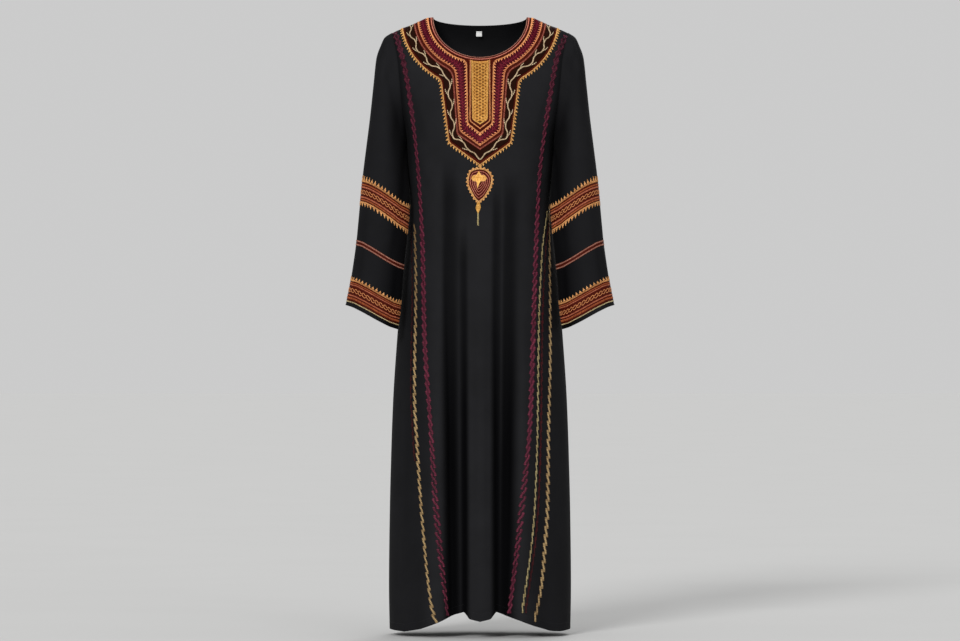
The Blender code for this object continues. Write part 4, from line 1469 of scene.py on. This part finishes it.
# The sleeve bands. Distances are shares of a band's depth, from its upper edge. Seen from
# the front a band rises as a whole, bows up in its middle and dips at its inner side, by
# so many millimetres.
BANDS = table(
    "name first last rise bow dip ground_top ground_end",
    ("upper_band", 6, 7, 2.9, 2.7, 9.2, 0.15, 0.908),
    ("stripe", 8, 9, 0, 0, 0, -0.12, 1.12),
    ("cuff_band", 10, 11, 0.6, 0.6, 0, 0.083, 1.05),
)
BAND_RAIL = "kind colour base edge tip pitch slant height"
BAND_RAILS = {
    "upper_band": table(
        BAND_RAIL,
        ("satin", "band_gold", 0.218, 0.14, 0, 1.25, 1.8, 1.2),
        ("teeth", "band_gold", 0.14, 0.14, 0, 0, 1.6, 1.2),
        ("satin", "band_rust", 0.262, 0.325, 0, 1.25, 1.8, 1),
        ("satin", "band_pink", 0.345, 0.41, 0, 1.25, 1.8, 1.1),
        ("chain", "band_chain", 0.455, 0.63, 0, 11, 0, 1.3),
        ("satin", "band_pink", 0.68, 0.742, 0, 1.25, 1.8, 1.1),
        ("satin", "band_rust", 0.758, 0.822, 0, 1.25, 1.8, 1),
        ("satin", "band_gold", 0.846, 0.908, 0, 1.25, 1.8, 1.2),
        ("teeth", "band_gold", 0.908, 0.908, 1.01, 0, 1.6, 1.2),
    ),
    "stripe": table(
        BAND_RAIL,
        ("satin", "dusky", -0.1, 0.28, 0, 1.25, 2, 1.1),
        ("satin", "red", 0.38, 0.62, 0, 1.4, 1.2, 0.6),
        ("satin", "dusky", 0.72, 1.1, 0, 1.25, 2, 1.1),
    ),
    "cuff_band": table(
        BAND_RAIL,
        ("satin", "band_gold", 0.171, 0.083, 0, 1.25, 1.8, 1.2),
        ("teeth", "band_gold", 0.083, 0.083, -0.04, 0, 1.6, 1.2),
        ("satin", "band_rust", 0.206, 0.268, 0, 1.25, 1.8, 1),
        ("satin", "band_pink", 0.282, 0.345, 0, 1.25, 1.8, 1.1),
        ("chain", "band_chain", 0.435, 0.646, 0, 11, 0, 1.3),
        ("satin", "band_pink", 0.716, 0.786, 0, 1.25, 1.8, 1.1),
        ("satin", "band_rust", 0.82, 0.92, 0, 1.25, 1.8, 1),
        ("satin", "cream", 0.995, 1.05, 0, 1.25, 1.8, 1),
    ),
}
BAND_TOOTH = 9.4 * MM
BAND_TOOTH_SHARE = 0.25
BAND_GROUND_ROWS = 9


def sleeve_band(side_name, band):
    """One band of embroidery round one sleeve: its rails, then its ground."""
    surface = SLEEVES[side_name]
    top = down_at(band.first) - band.rise * MM
    depth = down_at(band.last) - down_at(band.first)

    def loop_at(share):
        return Loop(surface, top + share * depth, band.bow * MM, band.dip * MM)

    made = {}
    for rail in BAND_RAILS[band.name]:
        name = f"{band.name}_{rail.colour.removeprefix('band_')}_{side_name}"
        stitches = gather(made, name, rail.colour, surface, BAND_SLOT)
        middle = 0.5 * (rail.base + (rail.tip or rail.edge))
        places = [(value - middle) * depth for value in (rail.base, rail.edge, rail.tip)]
        lay_rail(stitches, rail, loop_at(middle), *places, BAND_TOOTH, BAND_TOOTH_SHARE)
    make_all(made)
    rows = []
    for share in np.linspace(band.ground_top, band.ground_end, BAND_GROUND_ROWS):
        rows.append(stack(SLEEVE_ANGLES, loop_at(share).place(SLEEVE_ANGLES)))
    faces = grid_faces(len(rows), SLEEVE_COLUMNS, True, SIDES[side_name] < 0)
    node = f"{band.name}_{side_name}"
    lay_ground(f"{band.name}_ground_{side_name}", surface, rows, faces, node, BAND_SLOT)


# The stitched lines down the front, each through a few places from top to hem
BURGUNDY_RIGHT = in_mm(
    "z x",
    (-34, -194.6), (-83, -179.5), (-156, -164.9), (-255, -151.1), (-386, -138.5), (-534, -130.5),
    (-720, -126.4), (-933, -112.2), (-1116, -99.8), (-1361, -73.3),
)
BURGUNDY_LEFT = in_mm(
    "z x",
    (-42, 196.9), (-90, 176.3), (-156, 164), (-246, 149.8), (-372, 135.1), (-534, 127.3), (-720, 121.1),
    (-933, 112.9), (-1116, 94.6), (-1356, 66),
)
GOLD_RIGHT = in_mm(
    "z x",
    (-475, -148.9), (-617, -146), (-850, -148.9), (-1013, -140.6), (-1178, -128.2), (-1340, -109.9),
    (-1377, -99.8),
)
GOLD_INNER = in_mm(
    "z x",
    (-445, 153.4), (-534, 141.5), (-720, 133.2), (-933, 130.5), (-1095, 125.1), (-1178, 119.1),
    (-1354, 94.6),
)
GOLD_OUTER = in_mm(
    "z x",
    (-434, 158), (-740, 160), (-953, 155.7), (-1116, 153.4), (-1198, 147.9), (-1292, 139.7),
    (-1374, 123.2),
)


def beside(places, aside, top_z, low_z):
    """The places of a line that runs beside another, between two heights."""
    rows = [(place.z, place.x + aside) for place in places if low_z <= place.z <= top_z]
    return table("z x", *rows)


ECHO_RIGHT = beside(GOLD_RIGHT, -0.008, 0, -1.1)
ECHO_INNER = beside(GOLD_INNER, 0.008, 0, -2)
# ends is the painted highlight (when positive) or painted shade (when negative) at the ends of each stroke
FRONT_LINES = table(
    "name colour hand pitch swing stroke under tone ends places",
    ("line_burgundy_right", "burgundy", 1, 18.8, 4.8, 7.2, 14, 0.62, 0.3, BURGUNDY_RIGHT),
    ("line_burgundy_left", "burgundy", -1, 18.8, 4.8, 7.2, 14, 0.62, 0.3, BURGUNDY_LEFT),
    ("line_gold_right", "straw", 1, 19.6, 2.7, 7.2, 0, 0.75, -0.9, GOLD_RIGHT),
    ("line_gold_inner", "cream", 1, 20, 1.6, 4, 0, 0.25, -0.4, GOLD_INNER),
    ("line_gold_outer", "straw", 1, 19.8, 2.7, 7.2, 0, 0.75, -0.9, GOLD_OUTER),
    ("line_echo_right", "shadow", 1, 21, 1.4, 4, 0, 0.3, 0, ECHO_RIGHT),
    ("line_echo_inner", "shadow", 1, 19, 1.4, 4.6, 0, 0.4, 0, ECHO_INNER),
)
FADE = 0.40                 # below its start, where a line comes to its full tone
SCROLL_REACH = 0.66         # of the pitch, from a stroke's middle to its ends
SCROLL_BEND = 2.4           # how sharply it turns at them
UNDER_PITCH = 1.5 * MM
UNDER_LEAN = 2 * MM


def scrolls(stitches, trail, line):
    """Slanted S strokes one under another, each beginning beside the last one's foot."""
    count, _, pitch = spaced(trail, line.pitch * MM)
    t = np.linspace(-1, 1, 9)
    between = 0.5 * (t[1:] + t[:-1])
    along = SCROLL_REACH * pitch * t
    bend = np.tanh(SCROLL_BEND * t)
    aside = line.hand * line.swing * MM * bend / math.tanh(SCROLL_BEND)
    thick = line.stroke * MM * (0.85 + 0.30 * between**2)
    for index in range(count):
        centre = (index + 0.5 + rng.normal(0, 0.03)) * pitch
        places = trail.at(centre + along, aside)
        tone = line.tone * (0.25 + 0.75 * smooth(centre / FADE)) + rng.normal(0, TONE_UNEVEN)
        # Painted highlight and shade along each stroke: a positive ends lightens its ends, a negative one
        # darkens them and leaves its middle as a painted highlight
        tone = tone + line.ends * between**4
        stitches.add(places[:-1], places[1:], thick, MM, lift=0.35 * MM, tone=tone)


def beads(stitches, trail, line):
    """The low dark satin under a line, which swells where two of its strokes overlap."""
    count = int(round(trail.length / UNDER_PITCH))
    along = np.linspace(0, trail.length, count)
    strokes = spaced(trail, line.pitch * MM)[0]
    swell = np.cos(math.pi * along * strokes / trail.length) ** 2
    half = 0.5 * line.under * MM * (0.55 + 0.45 * swell)
    lean = UNDER_LEAN * line.hand
    starts = trail.at(along - lean, -half)
    ends = trail.at(along + lean, half)
    stitches.add(starts, ends, 1.9 * MM, 0.5 * MM, lift=0, tone=0.36)


def front_line(line):
    across = through(line.places, "z", "x")
    z = np.linspace(line.places[0].z, line.places[-1].z, 500)
    trail = Trail(FRONT, stack(across(z), z))
    stitches = Stitches(line.name, line.colour)
    if line.under:
        beads(stitches, trail, line)
    scrolls(stitches, trail, line)
    stitches.make()


# Sewing and the label
SEWING_STITCH = 2.6 * MM
SEWING_GAP = 0.9 * MM
NECK_STITCH = 2.4 * MM
NECK_ROWS = (1.2 * MM, 8.5 * MM)        # from the back neck's edge
CUFF_SEWING = 0.25          # above the cuff's edge, in shares of the last ring's span


def sew(name, surface, trail, stitch=SEWING_STITCH):
    stitches = Stitches(name, "black", surface, "black_crepe")
    running(stitches, trail, stitch, SEWING_GAP)
    stitches.make()


def sewing():
    """Lines of black stitches over the turned hems, the cuffs and the back neck."""
    across = np.linspace(-0.97, 0.97, 400)
    for name, surface, hem_z in (("front", FRONT, front_hem_z), ("back", BACK, back_hem_z)):
        z = hem_z(across * edge_x(HEM_BACK_Z)) + HEM_DEPTH - HEM_LINE
        trail = Trail(surface, stack(across * edge_x(z), z))
        sew(f"hem_sewing_{name}", surface, trail)
    for side_name, surface in SLEEVES.items():
        sew(f"cuff_sewing_{side_name}", surface, Loop(surface, down_at(LAST_PLACE - CUFF_SEWING)))
    angles = np.linspace(0.12, math.pi - 0.12, 200)
    for aside in NECK_ROWS:
        x = (NECK_HALF + aside) * np.cos(angles)
        z = -(NECK_DROP_BACK + aside) * np.sin(angles)
        trail = Trail(BACK, stack(x, z))
        sew(f"neck_sewing_{round(aside / MM)}", BACK, trail, NECK_STITCH)


LABEL_WIDTH = 13 * MM
LABEL_RUN = 8.6 * MM        # how far down the back it reaches before it hangs free
LABEL_X = -2.2 * MM
LABEL_TOP_Z = -0.0281
LABEL_STEPS = 14
LABEL_LIFT = 0.5 * MM       # off the cloth at its sewn top edge, and at its lower edge
LABEL_HANG = 4.5 * MM
LABEL_MARGIN = MM


def label():
    """A blank label sewn to the back neck by its top edge, with stitches and faint ribs."""
    inner = panel_surface(BACK_PANEL, SHELL, 1)
    share = np.linspace(0, 1, LABEL_STEPS + 1)
    x, down = [grid.ravel() for grid in np.meshgrid(LABEL_X + LABEL_WIDTH * (share - 0.5), share)]
    points, normals = inner.at(stack(x, LABEL_TOP_Z - LABEL_RUN * down))
    lift = mix(LABEL_LIFT, LABEL_HANG, smooth(down))
    points = points + normals * (lift + GROUND_THICKNESS)[:, None]
    faces = grid_faces(LABEL_STEPS + 1, LABEL_STEPS + 1, False, False)
    mesh = mesh_of("blank_label", points, faces, [LABEL_CLOTH])
    made = add_object("blank_label", mesh, "label_cloth", ["size_label"])
    half = LABEL_WIDTH / 2 - LABEL_MARGIN
    x = np.linspace(LABEL_X - half, LABEL_X + half, 30)
    seam = Trail(inner, stack(x, np.full(30, LABEL_TOP_Z - LABEL_MARGIN)))
    stitches = Stitches("label_sewing", "white", inner, "label_cloth")
    running(
        stitches, seam, stitch=1.5 * MM, gap=0.7 * MM, width=0.45 * MM, height=0.3 * MM, lift=1.1 * MM
    )
    stitches.make()
    return thicken(made, GROUND_THICKNESS)


# The studio
FLOOR_REACH = 40
FLOOR_DROP = 12 * MM        # below the gown's lowest point
PAPER = ((0.518, 0.518, 0.513, 1), (0.536, 0.536, 0.531, 1))
SKY_STRENGTH = 0.60
LAMPS = table(
    "name turn height softness strength",
    ("key", -20, 24, 16, 2.2),
    ("fill", 30, 5, 30, 0.8),
    ("rear", 168, 34, 30, 1.3),
)


def studio():
    """A pale floor, even light from all round and three soft lamps."""
    floor_z = cad_box[0].z - FLOOR_DROP
    corners = np.array([(-1, -1, 0), (1, -1, 0), (1, 1, 0), (-1, 1, 0)]) * FLOOR_REACH
    paper, tree, shader = new_material("pale_floor", 0.95, 0, 0)
    where = add_node(tree, "ShaderNodeTexCoord").outputs["Object"]
    mottle = noise(tree, where, 3)
    colour = blend_colours(tree, mottle, *PAPER)
    tree.links.new(colour, shader.inputs["Base Color"])
    floor = mesh_of("floor", corners + (0, 0, floor_z), [(0, 1, 2, 3)], [paper])
    place_in_scene("floor", floor)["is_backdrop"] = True

    world = bpy.data.worlds.new("studio")
    world.use_nodes = True
    sky = world.node_tree.nodes["Background"].inputs
    sky["Color"].default_value = (1, 1, 1, 1)
    sky["Strength"].default_value = SKY_STRENGTH
    bpy.context.scene.world = world

    for lamp in LAMPS:
        light = bpy.data.lights.new(lamp.name, "SUN")
        light.angle = math.radians(lamp.softness)
        light.energy = lamp.strength
        turn, height = math.radians(lamp.turn), math.radians(lamp.height)
        level = math.cos(height)
        from_it = Vector((math.sin(turn) * level, -math.cos(turn) * level, math.sin(height)))
        made = place_in_scene(lamp.name, light)
        made.rotation_euler = from_it.to_track_quat("Z", "Y").to_euler()


CAMERA_DISTANCE = 12
FRAME_WIDTH = 2.1984        # how much of the gown's plane the picture is wide
FRAME_MIDDLE_Z = -0.6934
SENSOR = 36


def camera():
    data = bpy.data.cameras.new("camera")
    data.sensor_width = SENSOR
    data.lens = SENSOR * CAMERA_DISTANCE / FRAME_WIDTH
    made = place_in_scene("camera", data)
    made.location = (0, -CAMERA_DISTANCE, FRAME_MIDDLE_Z)
    made.rotation_euler = (math.pi / 2, 0, 0)
    bpy.context.scene.camera = made
    bpy.context.scene.view_settings.view_transform = "Standard"


camera()
studio()
front = body_cloth("front", FRONT, FRONT_PANEL)
back = body_cloth("back", BACK, BACK_PANEL)
sleeves = {name: sleeve_cloth(name) for name in SIDES}
yoke_ground()
yoke_rails()
lattice()
vine()
pendant_ground()
pendant()
for side_name in SIDES:
    for band in BANDS:
        sleeve_band(side_name, band)
for line in FRONT_LINES:
    front_line(line)
sewing()
label_piece = label()

bpy.context.view_layer.update()
boxes = [[list(corner) for corner in box] for box in (cad_box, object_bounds())]
